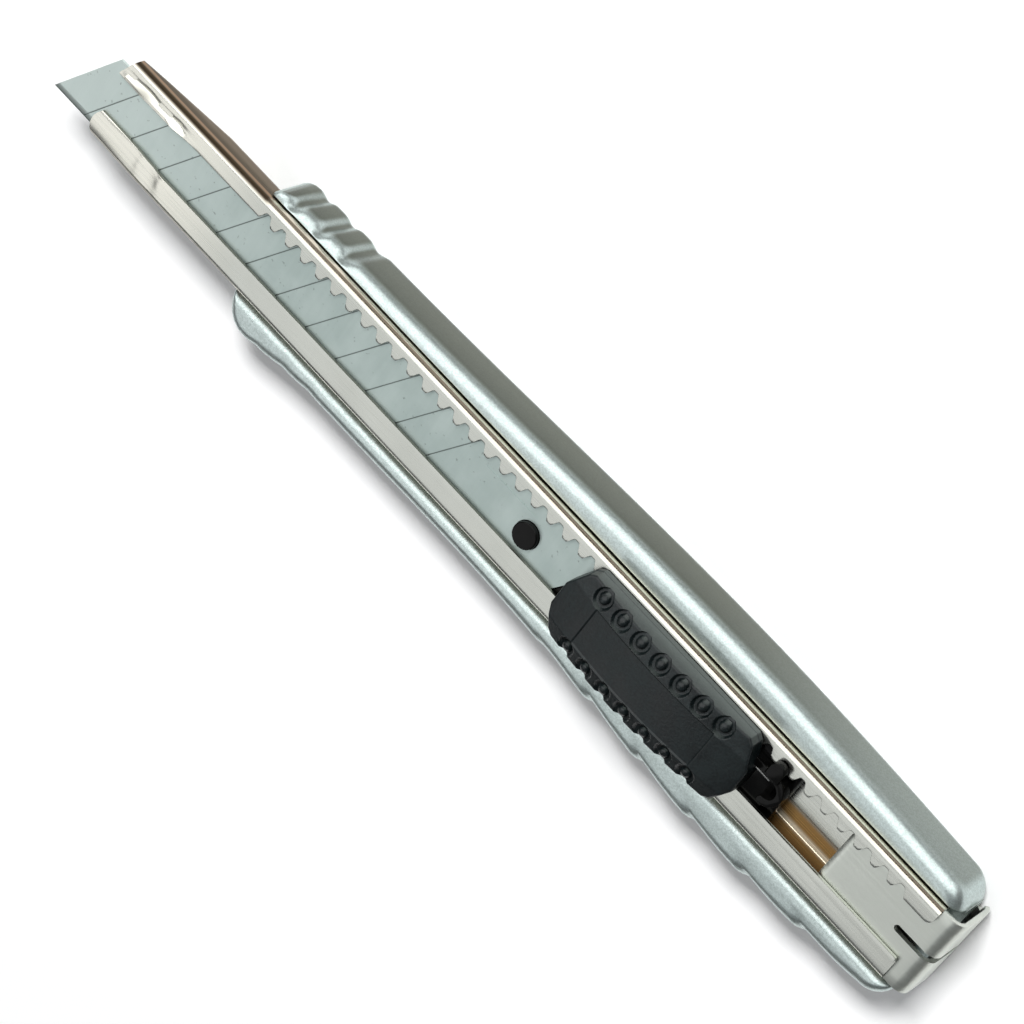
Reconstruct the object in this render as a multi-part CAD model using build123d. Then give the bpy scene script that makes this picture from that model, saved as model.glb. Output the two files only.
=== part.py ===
from build123d import *
import os
from math import cos, radians, sin, tan

# Snap-off utility knife. Millimetres. While it is built, X runs forward along the blade guide with
# zero at the guide's nose, Y runs left towards the cutting edge with zero on the guide's centre line,
# and Z runs up with zero on top of the guide's rails. At the end everything is moved so that the
# origin lies under the middle of the knife, on the surface that it lies on.

# Blade guide, folded from sheet steel
GUIDE_LENGTH = 129.5
GUIDE_WIDTH = 11.4
GUIDE_HEIGHT = 4.0
SHEET = 0.5
GUIDE_BEND = 0.7
NOSE_RAMP = 14.0
NOSE_HEIGHT = 2.1
NOSE_CORNER = 1.1
NOSE_LIP = 0.3
NOSE_LIP_LENGTH = 12.0
RACK_RAIL = 2.3
PLAIN_RAIL = 3.3
RAIL_END_ROUND = 0.9

# Rack cut in the right rail
NOTCH_PITCH = 2.51
NOTCH_DEPTH = 1.12
NOTCH_MOUTH_SHARE = 0.813
NOTCH_FLOOR_SHARE = 0.255
NOTCH_COUNT = 41
NOTCH_ROUND = 0.42
TOOTH_ROUND = 0.28
FIRST_NOTCH = 24.3

# Snap-off blade
BLADE_LENGTH = 80.3
BLADE_WIDTH = 9.0
BLADE_THICKNESS = 0.4
BLADE_EDGE_Y = 4.85
BLADE_REACH = 6.4
BEVEL = 0.8
EDGE_LAND = 0.06
SEGMENT = 5.0
SCORE_COUNT = 12
SCORE_ANGLE = 59.0
SCORE_WIDTH = 0.16
SCORE_DEPTH = 0.09
TANG_HOLE = 3.4
TANG_HOLE_SETBACK = 4.4
TANG_LINE = 8.3
TANG_LINE_Y = 2.6

# Running gaps
RAIL_GAP = 0.1
FLOOR_GAP = 0.12
SIDE_GAP = 0.15
NECK_GAP = 0.25
PEG_GAP = 0.1
END_GAP = 0.15

# Blade carrier
PEG_LEAD = 4.0
CARRIER_TAIL = 2.2
CARRIER_CHAMFER = 0.7
CARRIER_CORNER = 1.5
PEG_PROUD = 0.6
NECK_SETBACK = 0.2
SOCKET_LIP = 0.25
RIB_LENGTH = 5.9
RIB_WIDTH = 1.7
POST_RADIUS = 1.3
POST_HEIGHT = 1.2
POST_SPACING = 11.0

# Thumb pad
PAD_LENGTH = 28.1
PAD_WIDTH = 10.1
PAD_SETBACK = 3.1
PAD_END_HEIGHT = 2.4
PAD_CROWN = 1.6
PAD_TIP_WIDTH = 3.2
PAD_TIP_CUT = 1.4
PAD_CORNER_CUT = 0.8
PAD_CORNER_WIDTH = 9.0
PAD_SHOULDER = 2.2
PAD_SHOULDER_DROP = 0.8
PAD_SKIRT = 0.75
PAD_SKIRT_STEP = 0.08
DIMPLE_COUNT = 7
DIMPLE_PITCH = 3.12
DIMPLE_RADIUS = 1.2
DIMPLE_DEPTH = 0.5
DIMPLE_DOME = 0.66
DIMPLE_LEAD = 0.23
PANEL_LENGTH = 18.2
PANEL_WIDTH = 5.3
PANEL_DEPTH = 0.15

# Lock arm and the steel leaf behind it
ARM_THICKNESS = 0.9
ARM_HEIGHT = 1.5
ARM_Y = 2.45
ARM_SETBACK = 20.6
ARM_REACH = 9.5
ARM_PIVOT_RADIUS = 0.75
ARM_CURL = 1.5
ARM_NOSE_RADIUS = 0.5
ARM_NOSE_GAP = 0.3
ARM_HEAD_WIDTH = 1.9
ARM_HEAD_HEIGHT = 1.1
ARM_SEAT_GAP = 0.08
PIVOT_GAP = 0.06
LEAF_THICKNESS = 0.25
LEAF_LENGTH = 8.0
LEAF_HEIGHT = 1.1

# Die-cast handle
HANDLE_REAR = 131.0
HANDLE_BACK = 8.0
RIM_DROP = 1.4
TROUGH_GAP = 0.2
TROUGH_FLOOR = 5.6
PALM_FRONT_X = 22.5
PALM_FRONT_Y = 7.15
PALM_CORNER = 0.9
SPARE_FRONT = 8.0
PALM_WAIST_X = 45.0
PALM_WAIST_Y = 7.5
PALM_SWELL_X = 75.0
PALM_SWELL_Y = 8.75
PALM_CREST_X = 100.0
PALM_CREST_Y = 9.27
PALM_REAR_Y = 8.2
GUARD_FRONT_X = 25.2
GUARD_FRONT_Y = 6.8
GUARD_CORNER_X = 26.4
GUARD_CORNER_Y = 9.1
GUARD_CREST_X = 29.7
GUARD_CREST_Y = 10.6
GUARD_END_X = 36.0
GUARD_END_Y = 9.65
FINGER_WAIST_X = 46.0
FINGER_WAIST_Y = 9.55
FINGER_START_X = 74.0
FINGER_START_Y = 9.7
FINGER_SWELL_X = 88.0
FINGER_SWELL_Y = 10.7
FINGER_CREST_X = 105.0
FINGER_CREST_Y = 11.45
FINGER_FALL_X = 119.0
FINGER_FALL_Y = 10.75
FINGER_REAR_Y = 9.35
RIM_ROUND = 2.1
BACK_ROUND = 1.5
END_ROUND = 3.2
RIB_THICKNESS = 2.5
RIB_PLACES = (31.0, 56.0, 98.0, 122.0)

# Grip grooves of the handle
PALM_GROOVES = 3
PALM_GROOVE_X = 25.9
PALM_GROOVE_PITCH = 4.1
PALM_GROOVE_RADIUS = 0.9
PALM_GROOVE_DEPTH = 0.45
PALM_GROOVE_YAW = 12.0
GUARD_GROOVES = 3
GUARD_GROOVE_X = 32.0
GUARD_GROOVE_PITCH = 4.1
GUARD_GROOVE_DEPTH = 0.3
FINGER_GROOVES = 5
FINGER_GROOVE_X = 87.0
FINGER_GROOVE_PITCH = 8.4
FINGER_GROOVE_RADIUS = 1.3
FINGER_GROOVE_DEPTH = 0.6
FINGER_GROOVE_YAW = 40.0
GROOVE_RISE = 0.9

# Rivets between guide and handle
RIVET_PLACES = (38.0, 84.0)
RIVET_RADIUS = 1.0
RIVET_HEAD_RADIUS = 1.7
RIVET_TAIL_RADIUS = 1.6
RIVET_TAIL_HEIGHT = 0.7
RIVET_GAP = 0.03
RIVET_RECESS = 0.08
BOSS_RADIUS = 3.0

# End clip with its snapping slot
CLIP_SHEET = 0.6
TONGUE_FRONT = 117.3
TONGUE_GAP = 0.06
TONGUE_SIDE_GAP = 0.15
TONGUE_CORNER = 1.1
CLIP_BEND = 1.7
CLIP_END_GAP = 0.8
LEG_LENGTH = 40.0
LEG_WIDTH = 9.4
LEG_INSET = 0.1
LEG_RECESS = 1.4
LEG_SIDE_GAP = 0.3
LEG_TIP_ROUND = 3.0
SNAP_SLOT = 0.6
SNAP_SLOT_FRONT = 126.8
SNAP_SLOT_DEPTH = 6.0

# Levels and places that follow from the sizes above
HALF_GUIDE = GUIDE_WIDTH / 2
INNER_HALF = HALF_GUIDE - SHEET
GUIDE_FLOOR = SHEET - GUIDE_HEIGHT
RACK_Y = RACK_RAIL - HALF_GUIDE
PLAIN_Y = HALF_GUIDE - PLAIN_RAIL
BLADE_TOP = -SHEET - RAIL_GAP
BLADE_BOTTOM = BLADE_TOP - BLADE_THICKNESS
BLADE_SPINE_Y = BLADE_EDGE_Y - BLADE_WIDTH
SLOPE = 1 / tan(radians(SCORE_ANGLE))
BLADE_REAR = BLADE_LENGTH - BLADE_REACH
TANG_HOLE_X = BLADE_REAR - TANG_HOLE_SETBACK
NOTCH_MOUTH = NOTCH_MOUTH_SHARE * NOTCH_PITCH
NOTCH_FLOOR = NOTCH_FLOOR_SHARE * NOTCH_PITCH
CARRIER_FRONT = TANG_HOLE_X - PEG_LEAD
CARRIER_BOTTOM = GUIDE_FLOOR + FLOOR_GAP
NECK_FRONT = BLADE_REAR + BLADE_WIDTH * SLOPE + NECK_SETBACK
PAD_FRONT = BLADE_REAR + PAD_SETBACK
ARM_PIVOT = PAD_FRONT + ARM_SETBACK
PAD_BOTTOM = RAIL_GAP
PAD_MIDDLE = -PAD_FRONT - PAD_LENGTH / 2
ARM_BOTTOM = BLADE_TOP
ARM_TOP = ARM_BOTTOM + ARM_HEIGHT
ARM_HEAD_TOP = PAD_BOTTOM + ARM_HEAD_HEIGHT
TAIL_TOP = ARM_BOTTOM - ARM_SEAT_GAP
NECK_REAR = ARM_PIVOT + SOCKET_LIP
RIB_REAR = ARM_PIVOT + RIB_LENGTH
LOCKED_NOTCH = round((ARM_PIVOT + ARM_REACH - FIRST_NOTCH) / NOTCH_PITCH)
LOCK_X = -FIRST_NOTCH - LOCKED_NOTCH * NOTCH_PITCH
CARRIER_REAR = CARRIER_TAIL - LOCK_X
TROUGH_HALF = HALF_GUIDE + TROUGH_GAP
CUT = 1.0


def block(x_low, x_high, y_low, y_high, z_low, z_high):
    """Box between two corners."""
    middle = ((x_low + x_high) / 2, (y_low + y_high) / 2, (z_low + z_high) / 2)
    return Pos(*middle) * Box(x_high - x_low, y_high - y_low, z_high - z_low)


def prism(points, z_low, z_high):
    """Upright prism on a plan outline."""
    return Pos(0, 0, z_low) * extrude(make_face(Polyline(*points, close=True)), z_high - z_low)


def post(x, y, radius, z_low, z_high):
    """Upright round post."""
    return Pos(x, y, (z_low + z_high) / 2) * Cylinder(radius, z_high - z_low)


def guide_section(x, height, inset):
    """Rounded section of the guide at x, moved inwards by inset."""
    rounded = RectangleRounded(GUIDE_WIDTH - 2 * inset, height - 2 * inset, GUIDE_BEND - inset)
    return Plane.YZ.offset(x) * Pos(0, -height / 2) * rounded


def guide_solid(inset):
    """Solid inside the guide's outer face, or inside its bore, with the nose ramp."""
    tail = guide_section(-NOSE_RAMP, GUIDE_HEIGHT, inset)
    nose = guide_section(0, NOSE_HEIGHT, inset)
    return extrude(tail, -(GUIDE_LENGTH - NOSE_RAMP)) + loft([tail, nose], ruled=True)


def rack_edge():
    """Edge of the right rail: the nose lip, the notches and the rounded rear corner."""
    stops = [(CUT, RACK_Y + NOSE_LIP, 0)]
    stops.append((-NOSE_LIP_LENGTH / 2, RACK_Y + NOSE_LIP, NOSE_LIP_LENGTH))
    stops.append((-NOSE_LIP_LENGTH, RACK_Y, NOSE_LIP_LENGTH))
    for count in range(NOTCH_COUNT):
        middle = -FIRST_NOTCH - count * NOTCH_PITCH
        stops.append((middle + NOTCH_MOUTH / 2, RACK_Y, TOOTH_ROUND))
        stops.append((middle + NOTCH_FLOOR / 2, RACK_Y - NOTCH_DEPTH, NOTCH_ROUND))
        stops.append((middle - NOTCH_FLOOR / 2, RACK_Y - NOTCH_DEPTH, NOTCH_ROUND))
        stops.append((middle - NOTCH_MOUTH / 2, RACK_Y, TOOTH_ROUND))
    stops.append((-GUIDE_LENGTH, RACK_Y, RAIL_END_ROUND))
    stops.append((-GUIDE_LENGTH, RACK_Y - 2 * RAIL_END_ROUND, 0))
    return rounded_line(stops)


def plain_edge():
    """Edge of the left rail, from the rear corner to the nose lip."""
    stops = [(-GUIDE_LENGTH, PLAIN_Y + 2 * RAIL_END_ROUND, 0)]
    stops.append((-GUIDE_LENGTH, PLAIN_Y, RAIL_END_ROUND / 2))
    stops.append((-NOSE_LIP_LENGTH, PLAIN_Y, NOSE_LIP_LENGTH))
    stops.append((-NOSE_LIP_LENGTH / 2, PLAIN_Y - NOSE_LIP, NOSE_LIP_LENGTH))
    stops.append((CUT, PLAIN_Y - NOSE_LIP, 0))
    return rounded_line(stops)


def rounded_line(stops):
    """Line through the stops, each with its own corner radius, sharp at both ends."""
    points = [(x, y) for x, y, _ in stops]
    return FilletPolyline(*points, radius=[radius for _, _, radius in stops[1:-1]])


def make_blade_channel():
    """Folded guide: closed floor and walls, two rails on top, rack, ramped nose."""
    shell = guide_solid(0) - guide_solid(SHEET)
    rack = rack_edge()
    plain = plain_edge()
    far = -GUIDE_LENGTH - CUT
    rear = Polyline(rack @ 1, (far, (rack @ 1).Y), (far, (plain @ 0).Y), plain @ 0)
    front = Line(plain @ 1, rack @ 0)
    opening = make_face(Curve() + [rack, rear, plain, front])
    shell -= Pos(0, 0, -1.5 * SHEET) * extrude(opening, 2 * SHEET)
    corner = NOSE_CORNER
    outside = HALF_GUIDE + CUT
    left_cut = [(CUT, HALF_GUIDE - corner), (0, HALF_GUIDE - corner), (-corner, HALF_GUIDE)]
    left_cut += [(-corner, outside), (CUT, outside)]
    right_cut = [(CUT, RACK_Y), (0, RACK_Y), (-corner, -HALF_GUIDE), (-corner, -outside), (CUT, -outside)]
    for cut in (left_cut, right_cut):
        shell -= prism(cut, -GUIDE_HEIGHT - CUT, CUT)
    for place in RIVET_PLACES:
        shell -= rivet_head(place, RIVET_GAP)
    return shell


def rivet_head(place, gap):
    """Countersunk head as deep as the guide's floor is thick, grown by gap."""
    cone = Cone(RIVET_RADIUS + gap, RIVET_HEAD_RADIUS + gap, SHEET)
    return Pos(-place, 0, GUIDE_FLOOR - SHEET / 2) * cone


def make_channel_rivets():
    """Rivets through guide and handle: countersunk head, shank, upset tail in the back."""
    rivets = []
    tail_low = -HANDLE_BACK + RIVET_RECESS
    for place in RIVET_PLACES:
        rivet = rivet_head(place, 0)
        rivet += post(-place, 0, RIVET_RADIUS, tail_low, -GUIDE_HEIGHT)
        rivet += post(-place, 0, RIVET_TAIL_RADIUS, tail_low, tail_low + RIVET_TAIL_HEIGHT)
        rivets.append(rivet)
    return Compound(children=rivets)


def blade_end(x_edge):
    """Ends of a line across the blade at the score angle, from edge to spine."""
    return (x_edge, BLADE_EDGE_Y), (x_edge - BLADE_WIDTH * SLOPE, BLADE_SPINE_Y)


def make_blade():
    """Ground strip with slanted ends, score lines, tang hole and tang line."""
    grind = BLADE_EDGE_Y - BEVEL
    middle = (BLADE_TOP + BLADE_BOTTOM) / 2
    section = [(BLADE_SPINE_Y, BLADE_TOP), (grind, BLADE_TOP), (BLADE_EDGE_Y, middle + EDGE_LAND / 2)]
    section += [(BLADE_EDGE_Y, middle - EDGE_LAND / 2), (grind, BLADE_BOTTOM), (BLADE_SPINE_Y, BLADE_BOTTOM)]
    strip_length = BLADE_LENGTH + BLADE_WIDTH
    face = Plane.YZ.offset(BLADE_REACH) * make_face(Polyline(*section, close=True))
    strip = extrude(face, -strip_length)
    tip_edge, tip_spine = blade_end(BLADE_REACH)
    rear_edge, rear_spine = blade_end(-BLADE_REAR)
    blade = strip & prism([tip_edge, tip_spine, rear_spine, rear_edge], BLADE_BOTTOM - CUT, BLADE_TOP + CUT)
    for count in range(1, SCORE_COUNT + 1):
        edge, spine = blade_end(BLADE_REACH - count * SEGMENT)
        score = Box(2 * BLADE_WIDTH, SCORE_WIDTH, 2 * SCORE_DEPTH)
        place = ((edge[0] + spine[0]) / 2, (edge[1] + spine[1]) / 2, BLADE_TOP)
        blade -= Pos(*place) * Rot(0, 0, SCORE_ANGLE) * score
    hole_x = -TANG_HOLE_X
    blade -= post(hole_x, 0, TANG_HOLE / 2, BLADE_BOTTOM - CUT, BLADE_TOP + CUT)
    line = Box(TANG_LINE, 2 * SCORE_WIDTH, SCORE_DEPTH)
    return blade - Pos(hole_x + TANG_LINE / 2, -TANG_LINE_Y, BLADE_TOP) * line


def make_blade_carrier():
    """Carrier in the guide: bed under the blade, peg, shoulder, neck, posts for the pad and tail."""
    half = INNER_HALF - SIDE_GAP
    bed = block(-CARRIER_REAR, -CARRIER_FRONT, -half, half, CARRIER_BOTTOM, BLADE_BOTTOM)
    bed = fillet(bed.edges().filter_by(Axis.Z), CARRIER_CORNER)
    bed = chamfer(bed.faces().sort_by(Axis.Z)[0].edges().sort_by(Axis.X)[-1], CARRIER_CHAMFER)
    rear_edge, rear_spine = blade_end(-BLADE_REAR - END_GAP / sin(radians(SCORE_ANGLE)))
    reach = (half - BLADE_EDGE_Y) * SLOPE
    shoulder_front = [(rear_edge[0] + reach, half), (rear_spine[0] - (half + BLADE_SPINE_Y) * SLOPE, -half)]
    shoulder = prism(shoulder_front + [(-NECK_REAR, -half), (-NECK_REAR, half)], BLADE_BOTTOM, BLADE_TOP)
    tail = block(-CARRIER_REAR + CARRIER_CORNER, -NECK_REAR, -half, half, BLADE_BOTTOM, TAIL_TOP)
    neck_right = RACK_Y + NECK_GAP
    neck_left = PLAIN_Y - NECK_GAP
    neck = block(-NECK_REAR, -NECK_FRONT, neck_right, neck_left, BLADE_TOP, PAD_BOTTOM)
    rib = block(-RIB_REAR, -NECK_REAR, neck_left - RIB_WIDTH, neck_left, TAIL_TOP, PAD_BOTTOM)
    carrier = bed + shoulder + tail + neck + rib
    for x in post_places():
        carrier += post(x, (neck_left + neck_right) / 2, POST_RADIUS, PAD_BOTTOM, PAD_BOTTOM + POST_HEIGHT)
    peg = post(-TANG_HOLE_X, 0, TANG_HOLE / 2 - PEG_GAP, BLADE_BOTTOM, BLADE_TOP + PEG_PROUD)
    return carrier + chamfer(peg.edges().group_by(Axis.Z)[-1], PEG_GAP)


def post_places():
    """Places of the two posts that carry the pad."""
    middle = -(NECK_FRONT + NECK_REAR) / 2
    return middle - POST_SPACING / 2, middle + POST_SPACING / 2


def pad_outline(length, width):
    """Plan outline of the pad: long sides, cut corners and blunt tips."""
    tip = length / 2
    knee = tip - PAD_TIP_CUT
    corner = knee - PAD_CORNER_CUT
    spare = (PAD_WIDTH - width) / 2
    quarter = [(tip, PAD_TIP_WIDTH / 2), (knee, PAD_CORNER_WIDTH / 2 - spare), (corner, width / 2)]
    front = quarter + [(-x, y) for x, y in reversed(quarter)]
    return front + [(-x, -y) for x, y in front]


def pad_height(along):
    """Height of the pad's crowned top above the rails, at a distance from its middle."""
    share = 2 * along / PAD_LENGTH
    return PAD_BOTTOM + PAD_END_HEIGHT + PAD_CROWN * (1 - share * share)


def make_thumb_pad():
    """Crowned pad with sloped shoulders, two rows of ring dimples, a plain sunk panel and a skirt."""
    tip = PAD_LENGTH / 2
    top_arc = ThreePointArc((tip, pad_height(tip)), (0, pad_height(0)), (-tip, pad_height(tip)))
    sides = Polyline((-tip, pad_height(tip)), (-tip, PAD_BOTTOM), (tip, PAD_BOTTOM), (tip, pad_height(tip)))
    crown = Plane.XZ.offset(-PAD_WIDTH) * make_face(Curve() + [top_arc, sides])
    plan = pad_outline(PAD_LENGTH, PAD_WIDTH - 2 * PAD_SKIRT_STEP)
    pad = extrude(crown, 2 * PAD_WIDTH) & prism(plan, 0, PAD_WIDTH)
    for side in (-1, 1):
        pad -= shoulder_cut(side)
    pad += prism(pad_outline(PAD_LENGTH, PAD_WIDTH), PAD_BOTTOM, PAD_BOTTOM + PAD_SKIRT)
    for side in (-1, 1):
        for count in range(DIMPLE_COUNT):
            along = DIMPLE_LEAD + (count - (DIMPLE_COUNT - 1) / 2) * DIMPLE_PITCH
            pad -= dimple(along, side)
    panel = Box(PANEL_LENGTH, PANEL_WIDTH, PAD_WIDTH)
    panel = fillet(panel.edges().filter_by(Axis.Z), PANEL_DEPTH * 3)
    panel = Pos(DIMPLE_LEAD, 0, PAD_WIDTH / 2) * panel
    lower = Pos(0, 0, -PANEL_DEPTH) * extrude(crown, 2 * PAD_WIDTH)
    pad -= panel - lower
    pad = Pos(PAD_MIDDLE, 0, 0) * pad
    neck_middle = (PLAIN_Y + RACK_Y) / 2
    for x in post_places():
        pad -= post(x, neck_middle, POST_RADIUS, PAD_BOTTOM, PAD_BOTTOM + POST_HEIGHT)
    return pad - arm_pocket()


def shoulder_cut(side):
    """Wedge that slopes one long edge of the pad, following the crown."""
    half = PAD_WIDTH / 2 - PAD_SKIRT_STEP
    tip = PAD_LENGTH / 2 + CUT
    inner = half - PAD_SHOULDER
    rise = PAD_SHOULDER_DROP / PAD_SHOULDER
    sections = []
    for along in (-tip, 0, tip):
        top = pad_height(along)
        wedge = [(side * inner, top), (side * (half + CUT), top - rise * (PAD_SHOULDER + CUT))]
        wedge += [(side * (half + CUT), top + CUT), (side * inner, top + CUT)]
        sections.append(Plane.YZ.offset(along) * make_face(Polyline(*wedge, close=True)))
    return loft(sections)


def dimple(along, side):
    """Ring-shaped dimple with a domed middle, square to the pad's shoulder."""
    half = PAD_WIDTH / 2 - PAD_SKIRT_STEP
    y = half - PAD_SHOULDER / 2
    z = pad_height(along) - PAD_SHOULDER_DROP / 2
    ring = Cylinder(DIMPLE_RADIUS, 2 * DIMPLE_DEPTH)
    dome = Pos(0, 0, -DIMPLE_DEPTH) * Sphere(DIMPLE_DOME)
    lean = -side * PAD_SHOULDER_DROP / PAD_SHOULDER * 57.3
    return Pos(along, side * y, z) * Rot(lean, 0, 0) * (ring - dome)


def arm_pocket():
    """Room under the pad for the lock arm and its swing, wider where the pad reaches over nose and curl."""
    front = -ARM_PIVOT + ARM_PIVOT_RADIUS + NECK_GAP
    rear = PAD_MIDDLE - PAD_LENGTH / 2 - CUT
    left = PLAIN_Y - NECK_GAP - RIB_WIDTH
    low, high = PAD_BOTTOM - CUT, ARM_TOP + RAIL_GAP
    room = block(rear, front, -ARM_Y - ARM_THICKNESS, left, low, high)
    nose_front = LOCK_X + max(ARM_NOSE_RADIUS, ARM_HEAD_WIDTH / 2) + NECK_GAP
    if rear < nose_front:
        right = RACK_Y - NOTCH_DEPTH - NECK_GAP
        room += block(rear, nose_front, right, PLAIN_Y - NECK_GAP, low, max(high, ARM_HEAD_TOP + RAIL_GAP))
    return room


def make_lock_arm():
    """Springy arm: round root, straight run, nose in the rack with a head over the rail, and a curl at its end."""
    inner = -ARM_Y + ARM_THICKNESS / 2
    outer = -ARM_Y - ARM_THICKNESS / 2
    bend_x = LOCK_X - ARM_NOSE_RADIUS
    arm = post(-ARM_PIVOT, -ARM_Y, ARM_PIVOT_RADIUS, ARM_BOTTOM, ARM_TOP)
    arm += block(bend_x, -ARM_PIVOT, outer, inner, ARM_BOTTOM, ARM_TOP)
    ring_middle = ARM_CURL - ARM_Y
    curl = post(bend_x, ring_middle, ARM_CURL + ARM_THICKNESS / 2, ARM_BOTTOM, ARM_TOP)
    curl -= post(bend_x, ring_middle, ARM_CURL - ARM_THICKNESS / 2, ARM_BOTTOM, ARM_TOP)
    arm += curl & block(bend_x - 3 * ARM_CURL, bend_x, -3 * ARM_Y, 3 * ARM_Y, ARM_BOTTOM, ARM_TOP)
    arm += post(bend_x, ring_middle + ARM_CURL, ARM_THICKNESS / 2, ARM_BOTTOM, ARM_TOP)
    nose_y = RACK_Y - NOTCH_DEPTH + ARM_NOSE_GAP + ARM_NOSE_RADIUS
    arm += post(LOCK_X, nose_y, ARM_NOSE_RADIUS, ARM_BOTTOM, SHEET)
    nose_root = block(LOCK_X - ARM_NOSE_RADIUS, LOCK_X + ARM_NOSE_RADIUS, nose_y, -ARM_Y, ARM_BOTTOM, SHEET)
    half = ARM_HEAD_WIDTH / 2
    head_y = RACK_Y - NOTCH_DEPTH + half
    head = post(LOCK_X, head_y, half, PAD_BOTTOM, ARM_HEAD_TOP)
    head += block(LOCK_X - half, LOCK_X + half, head_y, -ARM_Y, PAD_BOTTOM, ARM_HEAD_TOP)
    return arm + nose_root + head


def make_lock_spring():
    """Steel leaf along the inner face of the arm."""
    rear = LOCK_X
    low = (ARM_BOTTOM + ARM_TOP - LEAF_HEIGHT) / 2
    inner = -ARM_Y + ARM_THICKNESS / 2
    return block(rear, rear + LEAF_LENGTH, inner, inner + LEAF_THICKNESS, low, low + LEAF_HEIGHT)


def arm_socket():
    """Round seat in the neck for the arm's root, open to the rear."""
    return post(-ARM_PIVOT, -ARM_Y, ARM_PIVOT_RADIUS + PIVOT_GAP, TAIL_TOP, PAD_BOTTOM + CUT)


def palm_side():
    """Right side of the handle in plan, from rear to front, run on past the front."""
    return Spline(
        (-HANDLE_REAR, -PALM_REAR_Y),
        (-PALM_CREST_X, -PALM_CREST_Y),
        (-PALM_SWELL_X, -PALM_SWELL_Y),
        (-PALM_WAIST_X, -PALM_WAIST_Y),
        (-PALM_FRONT_X + SPARE_FRONT, -PALM_FRONT_Y),
    )


def finger_side():
    """Left side of the handle in plan, from past the front over the guard to the rear."""
    return Spline(
        (-PALM_FRONT_X + SPARE_FRONT, GUARD_CREST_Y),
        (-GUARD_CREST_X, GUARD_CREST_Y),
        (-GUARD_END_X, GUARD_END_Y),
        (-FINGER_WAIST_X, FINGER_WAIST_Y),
        (-FINGER_START_X, FINGER_START_Y),
        (-FINGER_SWELL_X, FINGER_SWELL_Y),
        (-FINGER_CREST_X, FINGER_CREST_Y),
        (-FINGER_FALL_X, FINGER_FALL_Y),
        (-HANDLE_REAR, FINGER_REAR_Y),
    )


def edge_y(edge, x):
    """Y of a plan edge at x, where x falls or rises steadily along the edge."""
    low, high = 0.0, 1.0
    rising = (edge @ 1).X > (edge @ 0).X
    for _ in range(40):
        middle = (low + high) / 2
        if ((edge @ middle).X < x) == rising:
            low = middle
        else:
            high = middle
    return (edge @ low).Y


def front_cut():
    """Everything in front of the handle: cut corner on the right, slanted front, rounded guard."""
    far_x = SPARE_FRONT
    far_y = 2 * FINGER_CREST_Y
    palm_x, palm_y = -PALM_FRONT_X, -PALM_FRONT_Y
    guard_front = (-GUARD_FRONT_X, GUARD_FRONT_Y)
    guard_rear = (-GUARD_CREST_X, GUARD_CREST_Y + CUT / 10)
    right = [(far_x, -far_y), (palm_x - PALM_CORNER, -far_y), (palm_x - PALM_CORNER, palm_y)]
    right += [(palm_x, palm_y + PALM_CORNER), guard_front]
    guard = ThreePointArc(guard_front, (-GUARD_CORNER_X, GUARD_CORNER_Y), guard_rear)
    left = Polyline(guard_rear, (-GUARD_CREST_X, far_y), (far_x, far_y), (far_x, -far_y))
    outline = make_face(Curve() + [Polyline(*right), guard, left])
    return Pos(0, 0, -HANDLE_BACK - CUT) * extrude(outline, HANDLE_BACK + 2 * CUT)


def grip_edges(face):
    """Edges of a top or bottom face without the straight one in front."""
    return face.edges().sort_by(Axis.X)[:-1]


def make_handle_body():
    """Die-cast handle: rounded sides, trough for the guide, ribs, bosses, grooves and clip recess."""
    palm = palm_side()
    finger = finger_side()
    front = Line(palm @ 1, finger @ 0)
    rear = Line(finger @ 1, palm @ 0)
    plan = make_face(Curve() + [palm, front, finger, rear])
    body = Pos(0, 0, -HANDLE_BACK) * extrude(plan, HANDLE_BACK - RIM_DROP)
    body = fillet(body.edges().filter_by(Axis.Z).group_by(Axis.X)[0], END_ROUND)
    body = fillet(grip_edges(body.faces().sort_by(Axis.Z)[-1]), RIM_ROUND)
    body = fillet(grip_edges(body.faces().sort_by(Axis.Z)[0]), BACK_ROUND)
    body -= front_cut()
    body -= grooves(palm, finger)
    half = TROUGH_HALF
    body -= block(-HANDLE_REAR - CUT, CUT, -half, half, -TROUGH_FLOOR, CUT)
    for place in RIB_PLACES:
        rear, front = -place - RIB_THICKNESS / 2, -place + RIB_THICKNESS / 2
        body += block(rear, front, -half, half, -TROUGH_FLOOR, -GUIDE_HEIGHT)
    for place in RIVET_PLACES:
        body += post(-place, 0, BOSS_RADIUS, -TROUGH_FLOOR, -GUIDE_HEIGHT)
        body -= post(-place, 0, RIVET_RADIUS + RIVET_GAP, -HANDLE_BACK - CUT, CUT)
        tail_top = -HANDLE_BACK + RIVET_RECESS + RIVET_TAIL_HEIGHT
        body -= post(-place, 0, RIVET_TAIL_RADIUS + RIVET_GAP, -HANDLE_BACK - CUT, tail_top)
    return body - leg_recess()


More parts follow.
